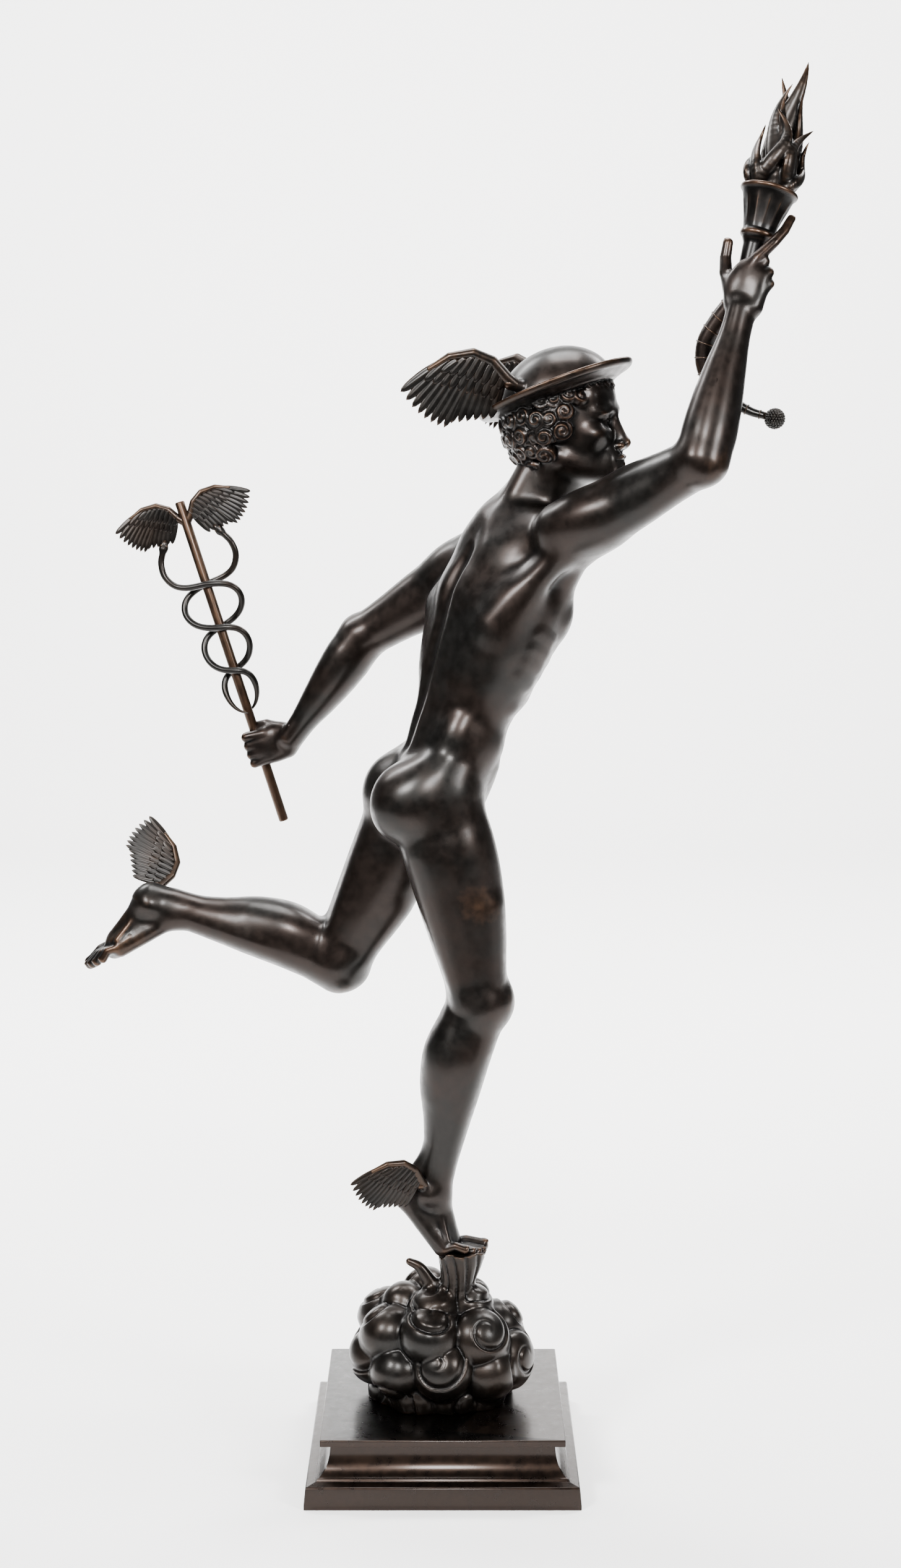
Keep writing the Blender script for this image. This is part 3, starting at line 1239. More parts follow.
def feathers():
    # Each is base u and v, tip u and v, half-width and layer
    out = []
    for s in np.linspace(0, 1, 8):
        out.append((0.42 + 0.40 * s, -0.17 + 0.12 * s, 0.62 + 0.52 * s, 0.56 - 0.26 * s * s, 0.060, 0))
    for s in np.linspace(0, 1, 6):
        out.append((0.14 + 0.30 * s, -0.08 - 0.10 * s, 0.16 + 0.40 * s, 0.36 + 0.14 * s, 0.062, 0))
    for s in np.linspace(0, 1, 9):
        arch = math.sin(math.pi * s)
        out.append((0.16 + 0.58 * s, -0.10 - 0.08 * arch, 0.20 + 0.72 * s, 0.18 - 0.04 * s, 0.056, 1))
    for s in np.linspace(0, 1, 8):
        arch = math.sin(math.pi * s)
        out.append((0.12 + 0.54 * s, -0.11 - 0.09 * arch, 0.15 + 0.62 * s, 0.05 - 0.03 * s, 0.050, 2))
    return out

class Wing:
    # root and along give the seat; the stem reaches from the root to the seat and on into the arm
    def __init__(self, root, along, down, normal, length, stem):
        self.root = np.asarray(root, float)
        self.along = unit(along)
        self.down = unit(down - self.along * np.dot(down, self.along))
        facing = np.cross(self.along, self.down)
        self.normal = facing if np.dot(facing, normal) > 0 else -facing
        self.length = length
        self.stem = stem
        self.stemRadius = wings["armRadii"][0] * length + 0.0008

    def at(self, u, v, lift=0.0):
        return self.seat() + (self.along * u + self.down * v) * self.length + self.normal * lift

    def seat(self):
        return self.root + self.along * self.stem

    def boss(self):
        # the stub on the body that the wing's stem is fixed to
        return strand(self.root, self.seat() + self.along * 0.006, self.stemRadius, self.stemRadius, 0.003)

    def armForm(self):
        points = [self.seat() - self.along * 0.002] + [self.at(u, v) for u, v in wings["arm"][1:]]
        return cord(points, [r * self.length + 0.0008 for r in wings["armRadii"]], 0.002)

    def featherRows(self):
        # where each feather starts, its reach, the way its face looks and its half-width
        starts, reaches, facings, halves = [], [], [], []
        for bu, bv, tu, tv, width, layer in feathers():
            lift = layer * wings["featherThickness"] * 0.62
            for face in (1, -1) if layer else (1,):
                base = self.at(bu, bv, lift * face)
                tip = self.at(tu, tv, lift * face * 0.8)
                w = width * self.length
                starts.append(base - unit(tip - base) * w * 0.5)
                reaches.append(tip + unit(tip - base) * w * 0.60 - starts[-1])
                facings.append(self.normal * face)
                halves.append(w)
        return starts, reaches, facings, halves


def featherMesh():
    # one feather, a unit long and two units wide: a cupped vane with a quill along its middle
    steps, across = wings["featherSteps"]
    points = []
    for face in (1, -1):
        for i in range(steps + 1):
            u = i / steps
            tip = math.sqrt(max(0, 1 - ((u - 0.80) / 0.2) ** 2)) if u > 0.80 else 1
            root = math.sqrt(u / 0.10) if u < 0.10 else 1
            half = (0.62 + 0.38 * math.sin(math.pi * min(u * 1.08, 1))) * tip * root
            for j in range(across + 1):
                v = 2 * j / across - 1
                thick = max(0.0, 1 - v * v) ** 0.5
                quill = 0.55 * math.exp(-(v / 0.16) ** 2) * (1 - 0.6 * u)
                z = face * thick * 0.5 + (quill if face > 0 else -quill) * min(1, half)
                points.append((u, v * max(half, 0.002), z * min(1, half * 1.6)))
    row = across + 1
    side = (steps + 1) * row
    faces = []
    for i in range(steps):
        for j in range(across):
            a = i * row + j
            faces.append((a, a + row, a + row + 1, a + 1))
            b = a + side
            faces.append((b, b + 1, b + row + 1, b + row))
    mesh = bpy.data.meshes.new("feather")
    mesh.from_pydata(points, [], faces)
    bm = bmesh.new()
    bm.from_mesh(mesh)
    bmesh.ops.remove_doubles(bm, verts=bm.verts, dist=0.004)
    bmesh.ops.recalc_face_normals(bm, faces=bm.faces)
    bm.to_mesh(mesh)
    bm.free()
    mesh.shade_smooth()
    return mesh


def featherTree():
    tree, given, result = newTree("featherCoat", [("Feather", "NodeSocketObject"), ("Thickness", "NodeSocketFloat"),
                                                  ("Finish", "NodeSocketMaterial")])

    def named(title, kind="FLOAT_VECTOR"):
        found = addNode(tree, "GeometryNodeInputNamedAttribute", {"Name": title}, data_type=kind)
        return found.outputs["Attribute"]

    reach = named("reach")
    alongReach = addNode(tree, "FunctionNodeAlignRotationToVector", {"Vector": reach}, axis="X")
    faced = addNode(tree, "FunctionNodeAlignRotationToVector",
                    {"Rotation": alongReach.outputs[0], "Vector": named("facing")}, axis="Z", pivot_axis="X")
    long = addNode(tree, "ShaderNodeVectorMath", {0: reach}, operation="LENGTH").outputs["Value"]
    size = addNode(tree, "ShaderNodeCombineXYZ", {"X": long, "Y": named("half", "FLOAT"),
                                                  "Z": given.outputs["Thickness"]})
    source = addNode(tree, "GeometryNodeObjectInfo", {"Object": given.outputs["Feather"]})
    laid = addNode(tree, "GeometryNodeInstanceOnPoints", {
        "Points": given.outputs["Geometry"], "Instance": source.outputs["Geometry"],
        "Rotation": faced.outputs[0],
        "Scale": size.outputs[0]})
    return closeTree(tree, given, result, laid.outputs[0])


feather = addObject("feather", featherMesh())
coat = featherTree()


def featherCoat(name, wing, finish):
    starts, reaches, facings, halves = wing.featherRows()
    mesh = pointMesh(name, starts, reach=reaches, facing=facings, half=halves)
    thing = grow(name, mesh, coat, {"Feather": feather, "Thickness": wings["featherThickness"],
                                    "Finish": finish})
    markRelief(thing.data, 0.0012, 2)
    return thing


def buildWing(name, wing, finish):
    arm = cast(name + "Arm", [wing.armForm()], wings["fineness"])
    arm.data.materials.append(finish)
    piece = joined(name + "_cast", [arm, featherCoat(name + "Feathers", wing, finish)])
    dress(piece, name)
    print(name, len(piece.data.polygons), "faces")


def hatWing(s):
    frame = hatFrame()
    right, front, up = frame[1]
    outward, back, high = wings["hatRoot"]
    along = front * -0.72 + up * 0.50 + right * s * 0.50
    down = front * -0.55 - up * 0.80
    root = place(frame, (s * outward, back, high))
    return Wing(root, along, down, right * s, wings["hatLength"], wings["hatStem"])

def ankleWing(s):
    ankle = joint("ankle" + sideName(s))
    if s > 0:
        return Wing(ankle + vec(0.002, -0.012, 0.006), vec(-0.80, -0.42, 0.40), vec(-0.42, -0.05, -0.90),
                    vec(0.1, -1, 0), wings["ankleLength"], wings["ankleStems"][0])
    return Wing(ankle + vec(0.004, 0.008, -0.004), vec(0.14, 0.50, 0.86), vec(-0.95, 0.0, 0.30),
                vec(0, 1, -0.4), wings["ankleLength"], wings["ankleStems"][1])

# Build the figure

def buildFigure(fitted):
    forms = trunkForms() + neckForms() + feetForms() + leafForms()
    for s in (1, -1):
        forms += legForms(s) + armForms(s)
    forms += nailed(torchHandForms(), torchGrip, torchAxis) + nailed(staffHandForms(), staffGrip, staffWay)
    forms += faceForms() + hairForms() + hatForms()
    forms += [wing.boss() for wing in fitted.values()]
    deep = body["soleCut"][2]
    forms.append(slab((vec(*body["foothold"]) - vec(0, 0, deep), np.eye(3)), body["soleCut"]))
    # head, hands, feet and leaf stay crisp
    crisp = [(joint("head"), 0.098), (torchGrip, 0.075), (staffGrip, 0.060), *body["crispFeet"],
             (place(pelvisFrame(), leaf["seat"]), 0.050)]
    figure = cast("figureCast", forms, body["fineness"], crisp)
    dress(figure, "figure", patina)


def slab(frame, half):
    # a box that cuts
    def distance(x, y, z):
        q = turnedInto(frame[1], frame[0], x, y, z)
        return np.max(np.broadcast_arrays(*[np.abs(q[i]) - half[i] for i in range(3)]), 0)

    reach = max(half) * 1.8
    return Form(frame[0] - reach, frame[0] + reach, distance, 0.0, True)


fitted = {}
for s in (1, -1):
    fitted["hat_wing_" + sideName(s).lower()] = hatWing(s)
    fitted["ankle_wing_" + sideName(s).lower()] = ankleWing(s)
buildFigure(fitted)
for name, wing in fitted.items():
    buildWing(name, wing, rubbed)
print("figure and wings made")


# The torch

torch = {
    "gripToRim": 0.100, "berryRadius": 0.0125, "tailSteps": 40, "sides": 72,
    "flutes": 12, "fluteDepth": 0.055,
    # the bowl: height over the grip and outer radius, then its inside
    "bowl": [
        (0.0985, 0.0318), (0.100, 0.0328), (0.1003, 0.0340), (0.0994, 0.0350), (0.0972, 0.0353),
        (0.0955, 0.0345),
        (0.0938, 0.0327), (0.0915, 0.0313), (0.086, 0.0296), (0.080, 0.0280), (0.072, 0.0255), (0.064, 0.0232),
        (0.056, 0.0212), (0.050, 0.0198), (0.0478, 0.0200), (0.0462, 0.0212), (0.0440, 0.0215), (0.0420, 0.0212),
        (0.0404, 0.0200), (0.0388, 0.0180), (0.0360, 0.0168), (0.0340, 0.0158), (0.0320, 0.0150), (0.030, 0.0146),
    ],
    "bowlInside": [(0.0985, 0.0305), (0.090, 0.0270), (0.078, 0.0232), (0.070, 0.0190), (0.069, 0.001)],
    # the tail: height, sway towards the thumb, setback towards the palm, and radius
    "tail": [
        (0.000, 0.000, 0.000, 0.0128), (-0.034, 0.006, 0.004, 0.0124), (-0.062, 0.020, 0.014, 0.0120),
        (-0.092, 0.030, 0.024, 0.0112), (-0.124, 0.022, 0.032, 0.0098), (-0.148, -0.006, 0.036, 0.0080),
        (-0.161, -0.040, 0.036, 0.0056), (-0.164, -0.062, 0.036, 0.0046),
    ],
    "bandCount": 11, "bandThickness": 0.0011, "grainRadius": 0.0019,
}


def hornRows():
    # rows of x, y, z and radius from the bowl's inside over the rim and down to the berry
    thumb, palm, _ = torchHand[1]
    rows = [(*(torchGrip + torchAxis * h), r) for h, r in reversed(torch["bowlInside"])]
    rows += [(*(torchGrip + torchAxis * h), r) for h, r in torch["bowl"]]
    tail = [(*(torchGrip + torchAxis * h + thumb * x + palm * y), r) for h, x, y, r in torch["tail"]]
    return rows, [tuple(row) for row in smoothTable([(i, *p) for i, p in enumerate(tail)], torch["tailSteps"])]


def hornMesh(bowlRows, tailRows):
    # the bowl is turned and fluted, and the tail is a plain tube that goes on from it
    rows = bowlRows + tailRows
    centres = np.array([row[:3] for row in rows])
    side = torchSide
    inner = len(torch["bowlInside"])
    sides = torch["sides"]
    points = []
    for n, row in enumerate(rows):
        way = -torchAxis
        if n >= len(bowlRows):
            way = unit(centres[min(n + 1, len(rows) - 1)] - centres[n - 1])
        side = unit(side - way * np.dot(side, way))
        third = np.cross(way, side)
        height = np.dot(centres[n] - torchGrip, torchAxis)
        fluted = 0.0
        if inner + 8 <= n < len(bowlRows):
            fluted = torch["fluteDepth"] * math.sin(math.pi * min(max((0.093 - height) / 0.042, 0), 1))
        for j in range(sides):
            turn = 2 * math.pi * j / sides
            r = row[3] * (1 - fluted * abs(math.sin(turn * torch["flutes"] / 2)) ** 0.6)
            points.append(centres[n] + (side * math.cos(turn) + third * math.sin(turn)) * r)
    quads = []
    for n in range(len(rows) - 1):
        for j in range(sides):
            k = (j + 1) % sides
            quads.append((n * sides + j, n * sides + k, (n + 1) * sides + k, (n + 1) * sides + j))
    mesh = meshOf("horn", np.array(points), np.array(quads))
    bm = bmesh.new()
    bm.from_mesh(mesh)
    bmesh.ops.holes_fill(bm, edges=bm.edges, sides=sides + 1)
    bmesh.ops.recalc_face_normals(bm, faces=bm.faces)
    bm.to_mesh(mesh)
    bm.free()
    mesh.shade_smooth()
    return mesh


def bandTree():
    # rings strung along a line, each as wide as the line's girth there
    tree, given, result = newTree("bands", [("Count", "NodeSocketInt"), ("Thickness", "NodeSocketFloat"),
                                            ("Finish", "NodeSocketMaterial")])
    line = addNode(tree, "GeometryNodeMeshToCurve", {"Mesh": given.outputs["Geometry"]})
    strung = addNode(tree, "GeometryNodeCurveToPoints", {"Curve": line.outputs[0],
                                                         "Count": given.outputs["Count"]})
    hoop = addNode(tree, "GeometryNodeCurvePrimitiveCircle", {"Resolution": 40, "Radius": 1.0})
    stock = addNode(tree, "GeometryNodeCurvePrimitiveCircle", {"Resolution": 8, "Radius": given.outputs["Thickness"]})
    girth = addNode(tree, "GeometryNodeInputNamedAttribute", {"Name": "girth"}, data_type="FLOAT")
    laid = addNode(tree, "GeometryNodeInstanceOnPoints", {
        "Points": strung.outputs["Points"], "Instance": hoop.outputs[0], "Rotation": strung.outputs["Rotation"],
        "Scale": girth.outputs["Attribute"]})
    real = addNode(tree, "GeometryNodeRealizeInstances", {"Geometry": laid.outputs[0]})
    solid = addNode(tree, "GeometryNodeCurveToMesh", {"Curve": real.outputs[0],
                                                      "Profile Curve": stock.outputs[0]})
    return closeTree(tree, given, result, solid.outputs[0])


def grainTree():
    # round grains set close over a ball
    tree, given, result = newTree("grains", [("Radius", "NodeSocketFloat"), ("Grain", "NodeSocketFloat"),
                                             ("Finish", "NodeSocketMaterial")])
    ball = addNode(tree, "GeometryNodeMeshIcoSphere", {"Radius": given.outputs["Radius"], "Subdivisions": 3})
    grain = addNode(tree, "GeometryNodeMeshIcoSphere", {"Radius": given.outputs["Grain"], "Subdivisions": 2})
    core = addNode(tree, "GeometryNodeMeshIcoSphere", {"Radius": given.outputs["Radius"], "Subdivisions": 4})
    laid = addNode(tree, "GeometryNodeInstanceOnPoints", {"Points": ball.outputs["Mesh"],
                                                          "Instance": grain.outputs["Mesh"]})
    both = addNode(tree, "GeometryNodeJoinGeometry")
    tree.links.new(laid.outputs[0], both.inputs[0])
    tree.links.new(core.outputs["Mesh"], both.inputs[0])
    seated = addNode(tree, "GeometryNodeInstanceOnPoints", {"Points": given.outputs["Geometry"],
                                                            "Instance": both.outputs[0]})
    return closeTree(tree, given, result, seated.outputs[0])


def buildTorch():
    bowlRows, tailRows = hornRows()
    horn = addObject("horn", hornMesh(bowlRows, tailRows))
    horn.data.materials.append(patina)
    span = tailRows[8:-2]
    bands = grow("bands", pathMesh("bands", [row[:3] for row in span], [row[3] for row in span]), bandTree(),
                 {"Count": torch["bandCount"], "Thickness": torch["bandThickness"], "Finish": rubbed})
    end = vec(*tailRows[-1][:3])
    way = unit(end - vec(*tailRows[-2][:3]))
    core = torch["berryRadius"] - torch["grainRadius"] * 0.7
    berry = grow("berry", pointMesh("berry", [end + way * torch["berryRadius"] * 0.92]), grainTree(),
                 {"Radius": core, "Grain": torch["grainRadius"], "Finish": rubbed})
    for thing, reach in ((horn, 0.0008), (bands, 0.0010), (berry, 0.0030)):
        markRelief(thing.data, reach, 4)
    piece = joined("torch_horn_cast", [horn, bands, berry])
    dress(piece, "torch_horn")
    print("torch horn", len(piece.data.polygons), "faces")


buildTorch()

flame = {
    "height": 0.160, "clearance": 0.0006, "tipRadius": 0.0009, "steps": 18, "hook": 0.8, "flat": 0.62,
    # tongues: the way each leans in degrees, its root's offset, height and thickness
    "tongues": [
        (0, 0.0, 1.00, 0.0170), (40, 0.010, 0.80, 0.0120), (160, 0.010, 0.74, 0.0120), (270, 0.010, 0.86, 0.0120),
        (100, 0.013, 0.66, 0.0105), (215, 0.013, 0.62, 0.0105), (330, 0.013, 0.68, 0.0105),
        (10, 0.019, 0.46, 0.0092), (70, 0.019, 0.56, 0.0092), (130, 0.019, 0.50, 0.0092),
        (190, 0.019, 0.40, 0.0092), (250, 0.019, 0.54, 0.0092), (305, 0.019, 0.44, 0.0092),
        (345, 0.021, 0.32, 0.0080), (160, 0.021, 0.30, 0.0080), (225, 0.021, 0.34, 0.0080),
    ],
    "fineness": {"voxel": 0.0010, "triangles": 60000, "relief": 0.0008, "passes": 14},
}


def flameForms():
    rim = torchGrip + torchAxis * torch["gripToRim"]
    out = [strand(rim - torchAxis * 0.034, rim + torchAxis * 0.016, 0.015, 0.025, 0.004)]
    for n, (angle, off, tall, r) in enumerate(flame["tongues"]):
        a = math.radians(angle)
        outward = torchSide * math.cos(a) + torchThird * math.sin(a)
        across = torchThird * math.cos(a) - torchSide * math.sin(a)
        sway = 0.011 * (1 if n % 2 else -1)
        points = []
        radii = []
        for k in range(flame["steps"] + 1):
            u = k / flame["steps"]
            middle = rim + outward * off + torchAxis * (flame["height"] * tall * u)
            hook = max(u - 0.62, 0) / 0.38
            middle = middle + outward * (off * 0.9 * u * (1 - 0.3 * u) + 0.005 * math.sin(5 * u))
            middle = middle + across * (sway * math.sin(u * 4.6 + n) + flame["hook"] * sway * hook ** 2)
            points.append(middle)
            radii.append(r * (1 - u) ** 0.75 * (0.72 + 0.55 * math.sin(u * 3.0)) + flame["tipRadius"])
        out.append(chain(points, radii, 0.003, flat=flame["flat"], normal=outward if off else torchThird))
    wall = [(h, r) for h, r in reversed(torch["bowlInside"][:4])]
    heights, limits = zip(*wall)

    def bowlWall(x, y, z):
        # the flame keeps clear of the bowl
        q = turnedInto((torchSide, torchThird, torchAxis), torchGrip, x, y, z)
        limit = np.interp(q[2], heights, limits)
        beside = limit - flame["clearance"] - np.hypot(q[0], q[1])
        return np.maximum(beside, q[2] - torch["gripToRim"] - 0.001)

    return out + [Form(rim - 0.08, rim + 0.08, bowlWall, 0.0, True)]


dress(cast("flameCast", flameForms(), flame["fineness"]), "torch_flame", rubbed)


# The staff

def snakePath(k):
    low, high = staff["snakeSpan"]
    points = []
    girth = []
    for i in range(staff["snakeSteps"] + 1):
        u = i / staff["snakeSteps"]
        turn = math.pi * staff["snakeTurns"] * u
        sway = staff["snakeSway"][0] + (staff["snakeSway"][1] - staff["snakeSway"][0]) * u ** 0.8
        x = k * sway * math.sin(turn)
        y = k * (staff["rodRadius"] + staff["snakeRadius"]) * 0.96 * math.cos(turn)
        height = low + (high - low) * (u - 0.03 * math.sin(2 * turn))
        points.append(place(staffFrame, (x, y, height)))
        girth.append(staff["snakeRadius"] * min(1, 0.20 + 0.045 * i))
    neck = [points[-1]] + [place(staffFrame, (-k * x, -k * y, h)) for x, y, h in staff["snakeNeck"]]
    for row in smoothTable([(i, *p) for i, p in enumerate(neck)], 24)[1:]:
        points.append(row)
        girth.append(staff["snakeRadius"] * 0.98)
    return points, girth


def tubeTree():
    # a round skin along a line, as thick as the line's girth
    tree, given, result = newTree("tube", [("Sides", "NodeSocketInt"), ("Finish", "NodeSocketMaterial")])
    line = addNode(tree, "GeometryNodeMeshToCurve", {"Mesh": given.outputs["Geometry"]})
    ring = addNode(tree, "GeometryNodeCurvePrimitiveCircle", {"Resolution": given.outputs["Sides"], "Radius": 1.0})
    girth = addNode(tree, "GeometryNodeInputNamedAttribute", {"Name": "girth"}, data_type="FLOAT")
    solid = addNode(tree, "GeometryNodeCurveToMesh", {"Curve": line.outputs[0], "Profile Curve": ring.outputs[0],
                                                      "Scale": girth.outputs["Attribute"], "Fill Caps": True})
    return closeTree(tree, given, result, solid.outputs[0])


def snakeHead(points):
    # a lozenge head with brow ridges and a cut mouth
    base = points[-1]
    way = unit(points[-1] - points[-3])
    rows = np.array([np.cross(staffFront, way), way, staffFront])
    frame = (base, rows)
    out = [
        strand(base - way * 0.003, base + way * 0.003, staff["snakeRadius"], staff["snakeRadius"], 0.002),
        blob(frame, (0, 0.0055, 0), (0.0066, 0.0080, 0.0046), 0.002),
        blob(frame, (0, 0.0120, 0), (0.0040, 0.0050, 0.0034), 0.003),
    ]
    for s in (1, -1):
        out.append(blob(frame, (s * 0.0034, 0.0085, 0.0026), (0.0015, 0.0024, 0.0015), 0.0008))
        out.append(blob(frame, (s * 0.0062, 0.0105, -0.0002), (0.0030, 0.0060, 0.0006), 0.0006, cut=True))
    return out


def buildStaff():
    tube = tubeTree()
    rodEnds = [(d - staff["below"], r) for d, r in staff["rodEnd"]]
    rodEnds += [(staff["above"] - d, r) for d, r in reversed(staff["rodEnd"])]
    parts = [grow("rod", pathMesh("rod", [place(staffFrame, (0, 0, h)) for h, _ in rodEnds],
                                  [r for _, r in rodEnds]), tube, {"Sides": 48, "Finish": patina})]
    heads = []
    for k in (1, -1):
        points, girth = snakePath(k)
        parts.append(grow("snake", pathMesh("snake", points, girth), tube,
                          {"Sides": staff["snakeSides"], "Finish": scaled}))
        heads += snakeHead(points)
    for part in parts:
        markRelief(part.data, 0.0030, 3)
    jaws = cast("snakeHeads", heads, staff["headFineness"])
    jaws.data.materials.append(rubbed)
    parts.append(jaws)
    arms = []
    for k in (1, -1):
        along = staffSide * k * 0.92 + staffWay * 0.40
        down = staffSide * k * 0.35 - staffWay * 0.94
        root = place(staffFrame, (0, 0, staff["wingRoot"]))
        wing = Wing(root, along, down, staffFront, wings["staffLength"], 0.004)
        arms.append(wing.armForm())
        parts.append(featherCoat("staffFeathers", wing, rubbed))
    shoulders = cast("staffArms", arms, wings["fineness"])
    shoulders.data.materials.append(rubbed)
    piece = joined("caduceus_cast", parts + [shoulders])
    dress(piece, "caduceus")
    print("staff", len(piece.data.polygons), "faces")


buildStaff()
bpy.data.objects.remove(feather)


# The cloud and its rising jet

cloud = {
    "half": (0.112, 0.094, 0.078), "centre": (-0.004, 0.000, 0.150), "seed": 11, "floor": 0.0848,
    # puff rings: count, height, puff size and first angle in degrees
    "rings": [(8, 0.100, 0.040, 12), (9, 0.140, 0.043, 34), (7, 0.182, 0.039, 8), (5, 0.212, 0.032, 40)],
    "jet": [(0.008, -0.012, 0.196, 0.040), (0.014, -0.020, 0.228, 0.0245), (0.020, -0.026, 0.256, 0.0235),
            (0.024, -0.027, 0.284, 0.0300), (0.025, -0.027, 0.304, 0.0350)],
    "wisp": [(0.000, -0.022, 0.222, 0.0140), (-0.016, -0.026, 0.246, 0.0105), (-0.030, -0.027, 0.268, 0.0070),
             (-0.044, -0.026, 0.276, 0.0050)],
    "grooveDepth": 0.0040, "groovePitch": (0.020, 0.028), "jetFlutes": 11, "jetGroove": 0.0032, "jetTwist": 9.0,
    "rim": 0.2940, "rimWave": 0.0014, "rimWaves": 5,
    "fineness": {"voxel": 0.0016, "triangles": 150000, "relief": 0.0026, "passes": 16},
}


def cloudForms():
    rng = np.random.default_rng(cloud["seed"])
    swirl = np.random.default_rng(3)
    centre = vec(*cloud["centre"])
    out = [blob((centre, np.eye(3)), (0, 0, 0), tuple(v * 0.90 for v in cloud["half"]), 0.02)]
    for count, height, size, first in cloud["rings"]:
        lift = (height - centre[2]) / cloud["half"][2]
        squeeze = math.sqrt(max(0.12, 1 - lift * lift))
        for i in range(count):
            a = math.radians(first + 360 * i / count) + rng.uniform(-0.10, 0.10)
            r = size * rng.uniform(0.86, 1.14)
            x = math.cos(a) * (cloud["half"][0] * squeeze - r * 0.62)
            y = math.sin(a) * (cloud["half"][1] * squeeze - r * 0.62)
            middle = centre + vec(x, y, height - centre[2] + rng.uniform(-0.006, 0.006))
            out.append(puff(middle, centre, r, swirl))
    return out + [jetForm(), wispForm()]


def puff(middle, centre, r, swirl):
    # one roll of cloud, carved with a spiral like a ram's horn that looks outwards
    outward = unit(middle - centre)
    facing = unit(outward + swirl.uniform(-0.75, 0.75, 3) + vec(0, 0, 0.25))
    side = unit(np.cross(facing, vec(0.05, 0.1, 1)))
    rows = np.array([side, np.cross(facing, side), facing])
    phase = swirl.uniform(0, 2 * math.pi)
    way = swirl.choice([-1, 1])
    pitch = swirl.uniform(*cloud["groovePitch"])

    def groove(u, v, w):
        rho = np.sqrt(u * u + v * v)
        turn = rho * (2 * math.pi / pitch) + way * np.arctan2(v, u) + phase
        cutIn = np.exp(-(np.sin(turn / 2) / 0.34) ** 2)
        return cloud["grooveDepth"] * cutIn * np.clip(rho * (2.2 / r) - 0.15, 0, 1)

    return blob((middle, rows), (0, 0, 0), (r, r, r * 0.94), 0.005, groove=groove)


def jetForm():
    path = smoothTable([(i, *p) for i, p in enumerate(cloud["jet"])], 24)
    plain = cord([row[:3] for row in path], [row[3] for row in path], 0.010)
    heights = path[:, 2]

    def distance(x, y, z):
        # flutes that climb and turn with the air
        px = np.interp(z, heights, path[:, 0]).astype(np.float32)
        py = np.interp(z, heights, path[:, 1]).astype(np.float32)
        twist = (z - 0.2) * cloud["jetTwist"] * cloud["jetFlutes"]
        turn = np.arctan2(y - py, x - px) * cloud["jetFlutes"] + twist
        return plain.distance(x, y, z) + cloud["jetGroove"] * np.exp(-(np.sin(turn / 2) / 0.45) ** 2)

    return Form(plain.low, plain.high, distance, 0.010)


def wispForm():
    path = smoothTable([(i, *p) for i, p in enumerate(cloud["wisp"])], 24)
    return cord([row[:3] for row in path], [row[3] for row in path], 0.008)


def jetRim():
    # the jet ends in a wavy lip round the sole
    x0, y0, _ = body["foothold"]

    def distance(x, y, z):
        turn = np.arctan2(y - y0, x - x0)
        return cloud["rim"] + cloud["rimWave"] * np.sin(turn * cloud["rimWaves"]) - z

    reach = 0.06
    low = vec(x0, y0, cloud["rim"] - 0.004) - vec(reach, reach, 0)
    return Form(low, vec(x0, y0, cloud["rim"]) + reach, distance, 0.0, True)


def footRoom():
    # room for the standing foot in the jet's top
    room = clearance([form for form in feetForms() if form.low[0] > -0.2], 0.0005)
    sole = body["foothold"][2] - 0.0005

    def distance(x, y, z):
        return np.maximum(room.distance(x, y, z), sole - z)

    return Form(room.low, room.high, distance, 0.0, True)


def buildCloud():
    forms = cloudForms()
    forms.append(slab((vec(0, 0, cloud["floor"] - 0.05), np.eye(3)), (0.3, 0.3, 0.05)))
    forms += [jetRim(), footRoom()]
    dress(cast("cloudCast", forms, cloud["fineness"]), "cloud_base", rubbed)


buildCloud()


# The plinth

plinth = {
    # half-widths and heights, from the floor up; the third number rounds that corner off
    "profile": [
        (0.1770, 0.0000, 0.0006), (0.1770, 0.0057, 0.0010), (0.1749, 0.0276, 0.0008), (0.1733, 0.0293, 0.0006),
        (0.1624, 0.0316, 0.0008), (0.1608, 0.0345, 0.0006), (0.1588, 0.0356, 0.0008), (0.1522, 0.0414, 0.0040),
        (0.1478, 0.0494, 0.0040), (0.1453, 0.0598, 0.0040), (0.1442, 0.0713, 0.0030), (0.1442, 0.0759, 0.0004),
        (0.1572, 0.0759, 0.0005), (0.1572, 0.0834, 0.0009), (0.1561, 0.0845, 0.0007),
    ],
    "arris": 0.0012,
    # rows of shallow strokes near the front edge: where they start and end, the rows' y, and one stroke's size
    "strokeSpan": (-0.068, 0.018), "strokeRows": (-0.129,), "strokeStep": 0.0036,
    "stroke": (0.0009, 0.0060, 0.0008), "strokeSeed": 4,
}


def roundedProfile():
    # each corner becomes a short arc of four points
    rows = plinth["profile"]
    out = [rows[0][:2]]
    for n in range(1, len(rows)):
        here = vec(*rows[n][:2])
        before = vec(*rows[n - 1][:2])
        after = vec(*rows[n + 1][:2]) if n + 1 < len(rows) else vec(rows[n][0] - 0.02, rows[n][1])
        cut = min(rows[n][2], np.linalg.norm(here - before) * 0.45, np.linalg.norm(after - here) * 0.45)
        a = here + unit(before - here) * cut
        b = here + unit(after - here) * cut
        for t in (0, 0.33, 0.67, 1):
            out.append(tuple((1 - t) ** 2 * a + 2 * t * (1 - t) * here + t * t * b))
    return out


